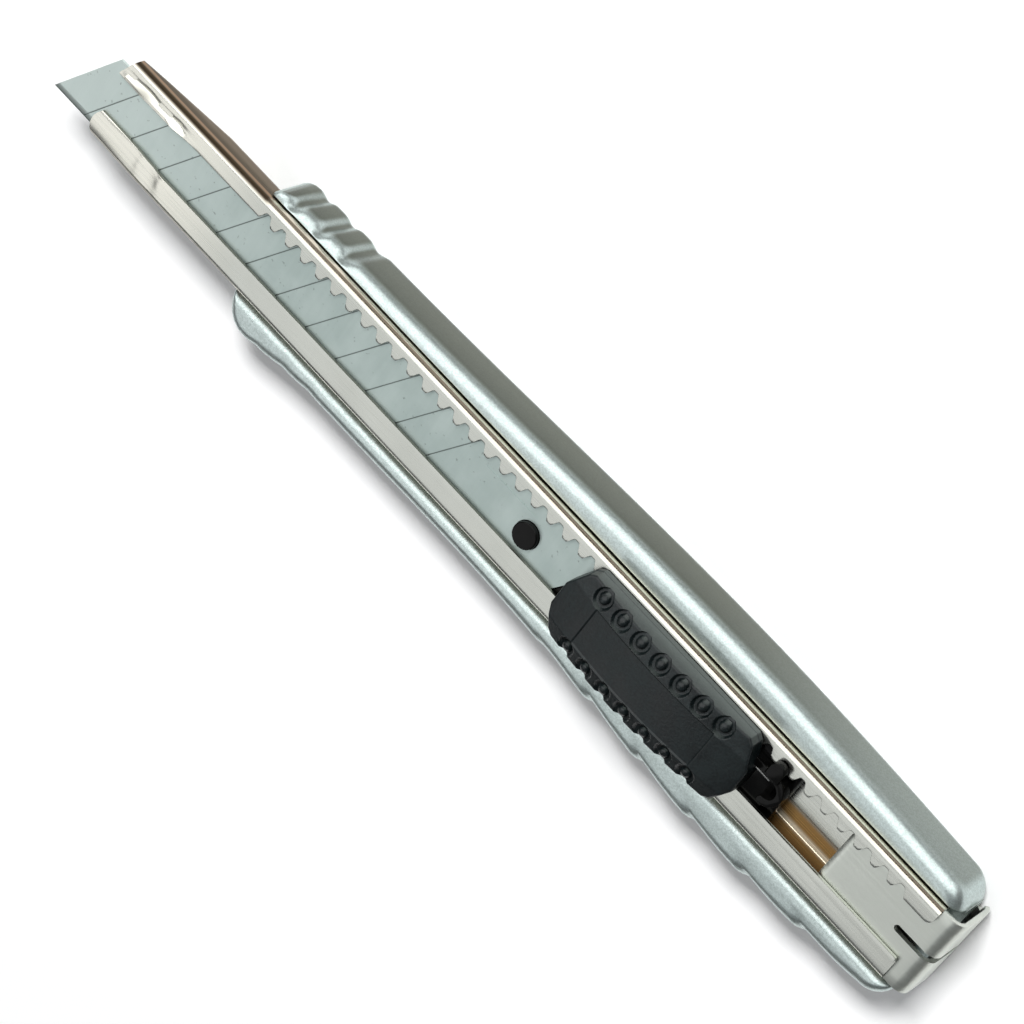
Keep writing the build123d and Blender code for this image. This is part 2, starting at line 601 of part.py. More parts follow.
def grooves(palm, finger):
    """Grip grooves of both sides."""
    cutters = []
    for count in range(PALM_GROOVES):
        x = -PALM_GROOVE_X - count * PALM_GROOVE_PITCH
        cutters.append(groove(x, edge_y(palm, x), PALM_GROOVE_RADIUS, PALM_GROOVE_DEPTH, PALM_GROOVE_YAW))
    for count in range(GUARD_GROOVES):
        x = -GUARD_GROOVE_X - count * GUARD_GROOVE_PITCH
        cutters.append(groove(x, edge_y(finger, x), PALM_GROOVE_RADIUS, GUARD_GROOVE_DEPTH, PALM_GROOVE_YAW))
    for count in range(FINGER_GROOVES):
        x = -FINGER_GROOVE_X - count * FINGER_GROOVE_PITCH
        y = edge_y(finger, x)
        cutters.append(groove(x, y, FINGER_GROOVE_RADIUS, FINGER_GROOVE_DEPTH, FINGER_GROOVE_YAW))
    return cutters


def groove(x, y, radius, depth, yaw):
    """Round groove that climbs a side, goes over its rounded rim and fades out towards the guide."""
    out = radius - depth
    bend = RIM_ROUND + out
    rise = GROOVE_RISE * bend
    path = FilletPolyline((-2 * bend, rise), (0, out), (0, -HANDLE_BACK), radius=bend * 0.8)
    side = 1 if y > 0 else -1
    upright = Plane(origin=(x, y + side * out, -RIM_DROP), x_dir=(0, side, 0), z_dir=(side, 0, 0))
    wire = upright * path
    profile = Plane(origin=wire @ 0, z_dir=wire % 0) * Circle(radius)
    cutter = sweep(profile, wire)
    turn = Location((x, y, 0)) * Rot(0, 0, side * yaw) * Location((-x, -y, 0))
    return turn * cutter


def leg_recess():
    """Shallow recess in the back where the clip's leg lies."""
    half = LEG_WIDTH / 2 + LEG_SIDE_GAP
    front = -HANDLE_REAR + LEG_LENGTH + LEG_SIDE_GAP
    recess = block(-HANDLE_REAR - CUT, front, -half, half, -HANDLE_BACK - CUT, -HANDLE_BACK + LEG_RECESS)
    return fillet(recess.edges().filter_by(Axis.Z).group_by(Axis.X)[-1], LEG_TIP_ROUND)


def make_end_clip():
    """Snapper: tongue under the rails, bend over the end, end wall, leg along the back, slot."""
    tongue_z = -SHEET - TONGUE_GAP - CLIP_SHEET / 2
    wall_x = -HANDLE_REAR - CLIP_END_GAP - CLIP_SHEET / 2
    leg_z = -HANDLE_BACK + LEG_INSET + CLIP_SHEET / 2
    leg_x = -HANDLE_REAR + LEG_LENGTH
    stops = ((-TONGUE_FRONT, tongue_z), (wall_x, tongue_z), (wall_x, leg_z), (leg_x, leg_z))
    path = FilletPolyline(*stops, radius=CLIP_BEND)
    strip = trace(path, CLIP_SHEET)
    clip = extrude(Plane.XZ.offset(-HALF_GUIDE) * strip, GUIDE_WIDTH)
    tongue_half = INNER_HALF - TONGUE_SIDE_GAP
    shoulder = -GUIDE_LENGTH - TONGUE_GAP
    for side in (-1, 1):
        low, high = sorted((side * tongue_half, side * (HALF_GUIDE + CUT)))
        clip -= block(shoulder, CUT, low, high, tongue_z - CLIP_SHEET, tongue_z + CLIP_SHEET)
        low, high = sorted((side * LEG_WIDTH / 2, side * (HALF_GUIDE + CUT)))
        leg_rear = -HANDLE_REAR - CLIP_END_GAP + TONGUE_GAP
        clip -= block(leg_rear, CUT, low, high, leg_z - CLIP_BEND, leg_z + CLIP_BEND)
    upright = clip.edges().filter_by(Axis.Z)
    clip = chamfer(upright.group_by(Axis.X)[-2], TONGUE_CORNER)
    leg_tip = clip.edges().filter_by(Axis.Z).group_by(Axis.X)[-1]
    clip = fillet(leg_tip, LEG_TIP_ROUND)
    slot_low = -SNAP_SLOT_DEPTH
    return clip - block(wall_x - CUT, -SNAP_SLOT_FRONT, -SNAP_SLOT / 2, SNAP_SLOT / 2, slot_low, CUT)


def main():
    """Build every piece, move it to the origin under the knife and write it."""
    nodes = {
        "handle_body": make_handle_body(),
        "blade_channel": make_blade_channel(),
        "channel_rivets": make_channel_rivets(),
        "blade": make_blade(),
        "blade_carrier": make_blade_carrier() - arm_socket(),
        "thumb_pad": make_thumb_pad(),
        "lock_arm": make_lock_arm(),
        "lock_spring": make_lock_spring(),
        "end_clip": make_end_clip(),
    }
    boxes = [shape.bounding_box() for shape in nodes.values()]
    middle_x = (min(box.min.X for box in boxes) + max(box.max.X for box in boxes)) / 2
    middle_y = (min(box.min.Y for box in boxes) + max(box.max.Y for box in boxes)) / 2
    home = Pos(-middle_x, -middle_y, -min(box.min.Z for box in boxes))
    os.makedirs("parts", exist_ok=True)
    for name, shape in nodes.items():
        export_step(home * shape, f"parts/{name}.step")
    print("moved by", home.position)


main()
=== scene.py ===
"""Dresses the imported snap-off knife: its meshes, finishes, light and camera.

Sizes and places of the pieces are in millimetres from the maker's datum, those of the studio in metres.
"""

import logging
import math
from dataclasses import dataclass
from enum import Enum, IntEnum
from typing import Any, Sequence

import bmesh
import bpy
import numpy as np
from mathutils import Matrix, Vector


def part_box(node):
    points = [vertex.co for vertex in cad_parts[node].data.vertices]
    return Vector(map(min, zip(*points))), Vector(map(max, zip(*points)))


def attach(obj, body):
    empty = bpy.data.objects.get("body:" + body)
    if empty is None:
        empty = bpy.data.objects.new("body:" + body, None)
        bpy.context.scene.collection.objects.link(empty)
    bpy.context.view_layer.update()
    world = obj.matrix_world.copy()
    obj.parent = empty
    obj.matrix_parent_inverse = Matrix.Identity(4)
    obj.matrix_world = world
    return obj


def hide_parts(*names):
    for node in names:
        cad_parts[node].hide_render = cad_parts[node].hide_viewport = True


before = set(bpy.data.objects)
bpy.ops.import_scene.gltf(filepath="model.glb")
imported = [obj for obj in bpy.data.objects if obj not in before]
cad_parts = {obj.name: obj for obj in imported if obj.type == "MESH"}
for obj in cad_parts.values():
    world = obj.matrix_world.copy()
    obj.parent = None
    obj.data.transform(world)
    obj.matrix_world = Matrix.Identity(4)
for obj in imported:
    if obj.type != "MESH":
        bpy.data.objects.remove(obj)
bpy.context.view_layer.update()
MM = 0.001
LOG = logging.getLogger("knife")

Pair = tuple[float, float]
Colour = tuple[float, float, float, float]
Socket = bpy.types.NodeSocket
# A value at both ends of a slope, then the result at each end.
Span = tuple[float, float, float, float]
# How far the middle of a rounded edge lies in from its corner, as a share of the rounding.
CORNER_SHARE = 0.3
# Square of a run so short that it counts as no run, in square millimetres.
NO_LENGTH = 1e-12
RIVET_PLACES: Pair = (-38.0, -84.0)


class Body(str, Enum):
    """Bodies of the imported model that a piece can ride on."""

    HANDLE = "handle"
    CARRIAGE = "carriage"
    ARM = "arm"
    CLIP = "clip"


class Slot(str, Enum):
    """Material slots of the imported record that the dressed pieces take."""

    SILVER = "silver_paint"
    GUIDE = "guide_steel"
    RIVET = "rivet_steel"
    CARRIER = "carrier_black"
    PAD = "pad_black"
    SPRING = "spring_steel"
    CLIP = "clip_steel"


@dataclass(frozen=True)
class Datum:
    """Maker's datum of the knife: the guide's nose, on its centre line, on top of its rails."""

    x: float
    y: float
    z: float

    @classmethod
    def from_guide(cls) -> "Datum":
        """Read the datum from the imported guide."""
        low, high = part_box("blade_channel")
        return cls(high.x, (low.y + high.y) / 2, high.z)

    def place(self, points: np.ndarray) -> np.ndarray:
        """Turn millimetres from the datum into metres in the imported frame.

        Args:
            points: Array whose last axis is x, y, z in millimetres.

        Returns:
            The same points in metres.
        """
        return np.asarray(points, float) * MM + np.array([self.x, self.y, self.z])

    def point(self, x: float, y: float, z: float) -> Vector:
        """Return one point in metres."""
        return Vector(self.place(np.array([x, y, z])))

    def at(self, axis: str, value: float) -> float:
        """Return a place along one axis in metres."""
        return getattr(self, axis.lower()) + value * MM


DATUM = Datum.from_guide()


def quarter_drop(inset: np.ndarray, radius: float | np.ndarray) -> np.ndarray:
    """Drop of a rounded edge below its face.

    Args:
        inset: Distances in from the edge.
        radius: Radius of the rounding, one for all or one for each distance.

    Returns:
        How far the surface lies below the face at each distance.
    """
    rest = radius - np.clip(inset, 0.0, radius)
    return radius - np.sqrt(np.maximum(radius * radius - rest * rest, 0.0))


def smooth(low: float, high: float, value: np.ndarray) -> np.ndarray:
    """Ease from 0 at low to 1 at high.

    Args:
        low: Value where the ease starts.
        high: Value where it ends.
        value: Values to ease.

    Returns:
        Shares between 0 and 1.
    """
    share = np.clip((np.asarray(value, float) - low) / (high - low), 0.0, 1.0)
    return share * share * (3.0 - 2.0 * share)


def bell(value: np.ndarray, middle: float, width: float) -> np.ndarray:
    """Soft bump of height 1 around a middle."""
    return np.exp(-(((np.asarray(value, float) - middle) / width) ** 2))


class SideCurve:
    """Smooth curve through plan stops, as y over x."""

    def __init__(self, stops: Sequence[Pair]) -> None:
        """Fit a natural cubic through the stops.

        Args:
            stops: Points with rising x.
        """
        self.x = np.array([stop[0] for stop in stops])
        self.y = np.array([stop[1] for stop in stops])
        count = len(stops)
        step = np.diff(self.x)
        slope = np.diff(self.y) / step
        matrix = np.eye(count)
        right = np.zeros(count)
        for i in range(1, count - 1):
            matrix[i, i - 1 : i + 2] = step[i - 1], 2 * (step[i - 1] + step[i]), step[i]
            right[i] = 6 * (slope[i] - slope[i - 1])
        self.bend = np.linalg.solve(matrix, right)

    def __call__(self, x: np.ndarray) -> np.ndarray:
        """Return y at each x.

        Args:
            x: Places along the curve.

        Returns:
            The curve's y at each place.
        """
        x = np.asarray(x, float)
        i = np.clip(np.searchsorted(self.x, x) - 1, 0, len(self.x) - 2)
        step = self.x[i + 1] - self.x[i]
        before, after = (self.x[i + 1] - x) / step, (x - self.x[i]) / step
        curve = (before**3 - before) * self.bend[i] + (after**3 - after) * self.bend[i + 1]
        return before * self.y[i] + after * self.y[i + 1] + curve * step * step / 6


def line_distance(points: np.ndarray, line: np.ndarray) -> np.ndarray:
    """Distance of plan points from a line of straight runs.

    Args:
        points: Plan points, one a row.
        line: Corners of the line, one a row.

    Returns:
        The distance of each point.
    """
    start, run = line[:-1], np.diff(line, axis=0)
    offset = points[:, None, :] - start[None]
    share = np.clip((offset * run).sum(-1) / np.maximum((run * run).sum(-1), NO_LENGTH), 0, 1)
    return np.linalg.norm(offset - share[..., None] * run[None], axis=-1).min(1)


def along_line(line: np.ndarray, shares: np.ndarray) -> np.ndarray:
    """Points at shares of a line's length.

    Args:
        line: Corners of the line, one a row.
        shares: Shares between 0 and 1.

    Returns:
        One plan point for each share.
    """
    length = np.concatenate([[0], np.cumsum(np.linalg.norm(np.diff(line, axis=0), axis=1))])
    reach = shares * length[-1]
    return np.stack([np.interp(reach, length, line[:, 0]), np.interp(reach, length, line[:, 1])], 1)


def arc(middle: Pair, radius: float, start: float, end: float, count: int) -> list[Pair]:
    """Points of an arc in the y-z plane.

    Args:
        middle: Middle of the arc.
        radius: Its radius.
        start: Angle of its first point, in degrees.
        end: Angle of its last point, in degrees.
        count: Number of points.

    Returns:
        The points as y, z pairs.
    """
    angles = np.radians(np.linspace(start, end, count))
    return [(middle[0] + radius * math.cos(a), middle[1] + radius * math.sin(a)) for a in angles]


class MeshShop:
    """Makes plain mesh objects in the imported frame."""

    SHARP = math.radians(32)
    ROUNDED = math.radians(38)
    FLAT = math.radians(0.6)
    # Distances in metres within which points are welded.
    LOFT_WELD = 2e-7
    COPY_WELD = 1e-6
    TURNED_WELD = 1e-7

    @staticmethod
    def link(name: str, data: bpy.types.ID) -> bpy.types.Object:
        """Add an object with this data to the scene.

        Args:
            name: Name of the object.
            data: Its mesh, lamp or camera.

        Returns:
            The new object at the origin.
        """
        piece = bpy.data.objects.new(name, data)
        bpy.context.scene.collection.objects.link(piece)
        return piece

    @classmethod
    def from_work(cls, name: str, work: bmesh.types.BMesh) -> bpy.types.Object:
        """Turn finished mesh work into an object.

        Args:
            name: Name of the object.
            work: Mesh work, which is freed.

        Returns:
            The new object at the origin.
        """
        mesh = bpy.data.meshes.new(name)
        work.to_mesh(mesh)
        work.free()
        return cls.link(name, mesh)

    @classmethod
    def smooth_shade(cls, mesh: bpy.types.Mesh) -> None:
        """Shade a mesh smooth apart from its sharp edges."""
        mesh.shade_smooth()
        mesh.set_sharp_from_angle(angle=cls.SHARP)

    @classmethod
    def loft(cls, name: str, loops: np.ndarray) -> bpy.types.Object:
        """Skin closed loops into one closed mesh.

        Args:
            name: Name of the piece.
            loops: Array of loops by points by xyz, in millimetres from the datum.

        Returns:
            The new object at the origin.
        """
        count, size = loops.shape[:2]
        points = DATUM.place(loops.reshape(-1, 3))
        faces = []
        for low in range(0, (count - 1) * size, size):
            high = low + size
            for j in range(size):
                k = (j + 1) % size
                faces.append((low + j, low + k, high + k, high + j))
        faces.append(tuple(range(size))[::-1])
        faces.append(tuple(range((count - 1) * size, count * size)))
        mesh = bpy.data.meshes.new(name)
        mesh.from_pydata([tuple(point) for point in points], [], faces)
        work = bmesh.new()
        work.from_mesh(mesh)
        bmesh.ops.remove_doubles(work, verts=work.verts, dist=cls.LOFT_WELD)
        bmesh.ops.recalc_face_normals(work, faces=work.faces)
        if work.calc_volume(signed=True) < 0:
            bmesh.ops.reverse_faces(work, faces=work.faces)
        work.to_mesh(mesh)
        work.free()
        cls.smooth_shade(mesh)
        return cls.link(name, mesh)

    @classmethod
    def softened(cls, name: str, node: str, width: float, segments: int = 2) -> bpy.types.Object:
        """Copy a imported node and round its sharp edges.

        Args:
            name: Name of the piece.
            node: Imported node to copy.
            width: Width of the rounding in millimetres.
            segments: Steps in the rounding.

        Returns:
            The new object at the origin.
        """
        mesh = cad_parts[node].data.copy()
        mesh.name = name
        work = bmesh.new()
        work.from_mesh(mesh)
        bmesh.ops.remove_doubles(work, verts=work.verts, dist=cls.COPY_WELD)
        bmesh.ops.dissolve_limit(
            work, angle_limit=cls.FLAT, verts=work.verts, edges=work.edges, use_dissolve_boundaries=False
        )
        work.to_mesh(mesh)
        work.free()
        mesh.materials.clear()
        piece = cls.link(name, mesh)
        bevel = piece.modifiers.new("rounding", "BEVEL")
        bevel.width = width * MM
        bevel.segments = segments
        bevel.limit_method = "ANGLE"
        bevel.angle_limit = cls.ROUNDED
        bevel.use_clamp_overlap = True
        cls.settle(piece)
        return piece

    @classmethod
    def cut(cls, piece: bpy.types.Object, cutter: bpy.types.Object) -> None:
        """Cut one closed piece out of another and drop the cutter.

        Args:
            piece: Piece to cut.
            cutter: Shape to take away.
        """
        step = piece.modifiers.new("cut", "BOOLEAN")
        step.operation = "DIFFERENCE"
        step.solver = "EXACT"
        step.object = cutter
        cls.settle(piece)
        bpy.data.objects.remove(cutter)

    @classmethod
    def settle(cls, piece: bpy.types.Object) -> None:
        """Turn a piece with modifiers into a plain mesh.

        Args:
            piece: Piece whose modifiers are applied and removed.
        """
        bpy.context.view_layer.update()
        graph = bpy.context.evaluated_depsgraph_get()
        mesh = bpy.data.meshes.new_from_object(piece.evaluated_get(graph), depsgraph=graph)
        piece.modifiers.clear()
        piece.data = mesh
        cls.smooth_shade(mesh)


@dataclass(frozen=True)
class Grain:
    """Cloudy noise: clouds per metre and octaves."""

    scale: float
    octaves: float = 3.0


@dataclass(frozen=True)
class Relief:
    """Bump of a surface: depth in millimetres and the share of it that shows."""

    depth: float
    strength: float


class Recipe:
    """Builds one procedural material on object coordinates."""

    CORE: Pair = (0.3, 0.7)
    MIX_INPUTS = (0, 6, 7)
    MIX_RESULT = 2

    def __init__(self, name: str) -> None:
        """Start a material with its main shader.

        Args:
            name: Name of the material.
        """
        self.material = bpy.data.materials.new(name)
        self.material.use_nodes = True
        self.tree = self.material.node_tree
        self.shader = self.tree.nodes["Principled BSDF"]
        self.place = self.node("ShaderNodeTexCoord").outputs["Object"]

    def node(self, kind: str, settings: dict[str, Any] | None = None, **inputs: Any) -> bpy.types.Node:
        """Add a node.

        Args:
            kind: Node type.
            settings: Properties of the node.
            **inputs: Values or sockets for its inputs, by name with spaces as underscores.

        Returns:
            The new node.
        """
        made = self.tree.nodes.new(kind)
        for key, value in (settings or {}).items():
            setattr(made, key, value)
        for key, value in inputs.items():
            self.feed(made.inputs[key.replace("_", " ")], value)
        return made

    def feed(self, socket: Socket, value: Any) -> None:
        """Link a socket to another one, or set its value.

        Args:
            socket: Input to link or set.
            value: Socket to link, or value to set.
        """
        if isinstance(value, Socket):
            self.tree.links.new(value, socket)
        else:
            socket.default_value = value

    def set(self, **inputs: Any) -> None:
        """Set or link inputs of the main shader, by name with spaces as underscores."""
        for key, value in inputs.items():
            self.feed(self.shader.inputs[key.replace("_", " ")], value)

    def stretched(self, scale: tuple[float, float, float]) -> Socket:
        """Object coordinates, scaled along x, y and z."""
        made = self.node("ShaderNodeMapping", {"vector_type": "POINT"}, Vector=self.place, Scale=scale)
        return made.outputs[0]

    def noise(self, grain: Grain, vector: Any = None) -> Socket:
        """Cloudy noise between 0 and 1.

        Args:
            grain: Size and octaves of the clouds.
            vector: Coordinates, or object coordinates if not given.

        Returns:
            The noise value's socket.
        """
        where = self.place if vector is None else vector
        made = self.node("ShaderNodeTexNoise", None, Vector=where, Scale=grain.scale, Detail=grain.octaves)
        return made.outputs[0]

    def cells(self, scale: float) -> Socket:
        """Random colour in each cell, at cells per metre."""
        return self.node("ShaderNodeTexVoronoi", None, Vector=self.place, Scale=scale).outputs["Color"]

    def spread(self, value: Any, span: Span) -> Socket:
        """Map a value from one range to another, held at the ends.

        Args:
            value: Socket to map.
            span: Both ends of its range, then the result at each end.

        Returns:
            The mapped value's socket.
        """
        made = self.node("ShaderNodeMapRange", {"interpolation_type": "SMOOTHSTEP"}, Value=value)
        for name, limit in zip(("From Min", "From Max", "To Min", "To Max"), span):
            made.inputs[name].default_value = limit
        return made.outputs[0]

    def follow(self, noise: Socket, limits: Pair = (0.0, 1.0)) -> Socket:
        """Map the core of a noise to a pair of limits."""
        return self.spread(noise, (*self.CORE, *limits))

    def reach(self, place: Socket, span: Span, origin: float = 0.0) -> Socket:
        """Map a place in metres over a range in millimetres.

        Args:
            place: Socket to map.
            span: Both ends of the range from the origin in millimetres, then the result at each end.
            origin: Where the millimetres count from, in metres.

        Returns:
            The mapped value's socket.
        """
        low, high, first, last = span
        return self.spread(place, (origin + low * MM, origin + high * MM, first, last))

    def along(self, axis: str, span: Span) -> Socket:
        """Map the place along one axis, in millimetres from the datum."""
        return self.reach(self.axis(axis), span, DATUM.at(axis, 0.0))

    def apart(self, axis: str, level: float) -> Socket:
        """Distance along one axis from a level in millimetres from the datum."""
        return self.math("ABSOLUTE", self.math("SUBTRACT", self.axis(axis), DATUM.at(axis, level)))

    def blend(self, share: Any, first: Any, second: Any) -> Socket:
        """Mix two colours.

        Args:
            share: Share of the second colour.
            first: First colour or socket.
            second: Second colour or socket.

        Returns:
            The mixed colour's socket.
        """
        made = self.node("ShaderNodeMix", {"data_type": "RGBA", "blend_type": "MIX"})
        for index, value in zip(self.MIX_INPUTS, (share, first, second)):
            self.feed(made.inputs[index], value)
        return made.outputs[self.MIX_RESULT]

    def math(self, way: str, first: Any, second: Any = 0.0) -> Socket:
        """Combine two values.

        Args:
            way: Operation.
            first: First value or socket.
            second: Second value or socket.

        Returns:
            The result's socket.
        """
        made = self.node("ShaderNodeMath", {"operation": way})
        self.feed(made.inputs[0], first)
        self.feed(made.inputs[1], second)
        return made.outputs[0]

    def times(self, first: Socket, *others: Any) -> Socket:
        """Multiply values.

        Args:
            first: First socket.
            *others: Values or sockets to multiply it by, in order.

        Returns:
            The product's socket.
        """
        for other in others:
            first = self.math("MULTIPLY", first, other)
        return first

    def weigh(self, first: Socket, second: Socket, share: float) -> Socket:
        """Average two values, with a share for the first and the rest for the second."""
        return self.math("ADD", self.times(first, share), self.times(second, 1 - share))

    def axis(self, name: str, vector: Any = None) -> Socket:
        """One axis of the object coordinates or of another vector."""
        where = self.place if vector is None else vector
        return self.node("ShaderNodeSeparateXYZ", None, Vector=where).outputs[name]

    def facing(self, name: str) -> Socket:
        """One axis of the surface's own direction."""
        return self.axis(name, self.place.node.outputs["Normal"])

    def relief(self, height: Socket, shape: Relief, under: Socket | None = None) -> Socket:
        """Bump from a height.

        Args:
            height: Socket with the height between 0 and 1.
            shape: Depth and strength of the bump.
            under: Bump to lay this one on.

        Returns:
            The normal's socket.
        """
        depth = shape.depth * MM
        made = self.node("ShaderNodeBump", None, Height=height, Distance=depth, Strength=shape.strength)
        if under is not None:
            self.feed(made.inputs["Normal"], under)
        return made.outputs[0]


def paint(red: float, green: float, blue: float) -> Colour:
    """Linear colour from screen values.

    Args:
        red: Red from 0 to 255.
        green: Green from 0 to 255.
        blue: Blue from 0 to 255.

    Returns:
        Red, green, blue and alpha.
    """
    values = [channel / 255 for channel in (red, green, blue)]
    linear = [v / 12.92 if v <= 0.04045 else ((v + 0.055) / 1.055) ** 2.4 for v in values]
    return (linear[0], linear[1], linear[2], 1.0)


@dataclass(frozen=True)
class SilverPaint:
    """Silver metallic paint with fine flakes on the die-cast grip, with painted shade on its upright walls.
    """

    light: Colour = paint(200, 212, 210)
    dark: Colour = paint(182, 194, 191)
    # Painted shade: upright walls take these darker colours, darker higher up and less so towards the rear.
    wall: Colour = paint(104, 106, 95)
    deep_wall_shade: Colour = paint(84, 86, 75)
    flake_scale: float = 7600.0
    flake_share: float = 0.7
    grain: Grain = Grain(4200.0)
    cloud: Grain = Grain(160.0)
    mottle: Span = (0.2, 0.8, 0.0, 1.0)
    upright: Span = (0.8, 0.99, 0.0, 0.9)
    wall_run: Span = (-124.0, -86.0, 0.66, 1.0)
    wall_rise: Span = (-6.8, -3.0, 0.0, 1.0)
    roughness: Pair = (0.3, 0.42)
    flake_relief: Relief = Relief(0.004, 0.5)
    grain_relief: Relief = Relief(0.008, 0.6)

    def make(self) -> bpy.types.Material:
        """Build the material.

        Returns:
            The material.
        """
        mix = Recipe("silver_flake_paint")
        flake = mix.axis("X", mix.cells(self.flake_scale))
        grain = mix.noise(self.grain)
        share = mix.spread(mix.weigh(flake, mix.noise(self.cloud), self.flake_share), self.mottle)
        # Painted shade: darken the upright walls, more higher up and less towards the rear.
        upright = mix.spread(mix.math("ABSOLUTE", mix.facing("Y")), self.upright)
        upright = mix.times(upright, mix.along("X", self.wall_run))
        wall = mix.blend(mix.along("Z", self.wall_rise), self.wall, self.deep_wall_shade)
        face = mix.blend(upright, mix.blend(share, self.dark, self.light), wall)
        mix.set(Base_Color=face, Metallic=1.0, Roughness=mix.follow(grain, self.roughness))
        mix.set(Normal=mix.relief(flake, self.flake_relief, mix.relief(grain, self.grain_relief)))
        return mix.material


@dataclass(frozen=True)
class SheetSteel:
    """Rolled sheet steel with streaks along the knife."""

    name: str
    light: Colour
    dark: Colour
    roughness: Pair
    streak: Grain = Grain(1.0)
    streak_scale: tuple[float, float, float] = (60.0, 3600.0, 3600.0)
    streak_share: float = 0.55
    cloud: Grain = Grain(140.0, 4.0)
    pits: Grain = Grain(2400.0, 2.0)
    mottle: Span = (0.32, 0.68, 0.0, 1.0)
    streak_relief: Relief = Relief(0.0025, 0.5)
    pit_relief: Relief = Relief(0.003, 0.35)

    def make(self) -> bpy.types.Material:
        """Build the material.

        Returns:
            The material.
        """
        mix = Recipe(self.name)
        mix.set(Metallic=1.0)
        streak = mix.noise(self.streak, mix.stretched(self.streak_scale))
        share = mix.spread(mix.weigh(streak, mix.noise(self.cloud), self.streak_share), self.mottle)
        face = mix.blend(share, self.dark, self.light)
        face, rough = self.aged_and_shaded(mix, face, mix.follow(streak, self.roughness))
        mix.set(Base_Color=face, Roughness=rough)
        bump = mix.relief(streak, self.streak_relief)
        mix.set(Normal=mix.relief(mix.noise(self.pits), self.pit_relief, bump))
        return mix.material

    def aged_and_shaded(self, mix: Recipe, face: Socket, rough: Socket) -> tuple[Socket, Socket]:
        """Age the sheet and paint light and shade on it, which plain sheet steel does not do.

        Args:
            mix: Recipe of the material, not used here.
            face: Colour of the new sheet.
            rough: Roughness of the new sheet.

        Returns:
            Colour and roughness of the aged sheet.
        """
        return face, rough


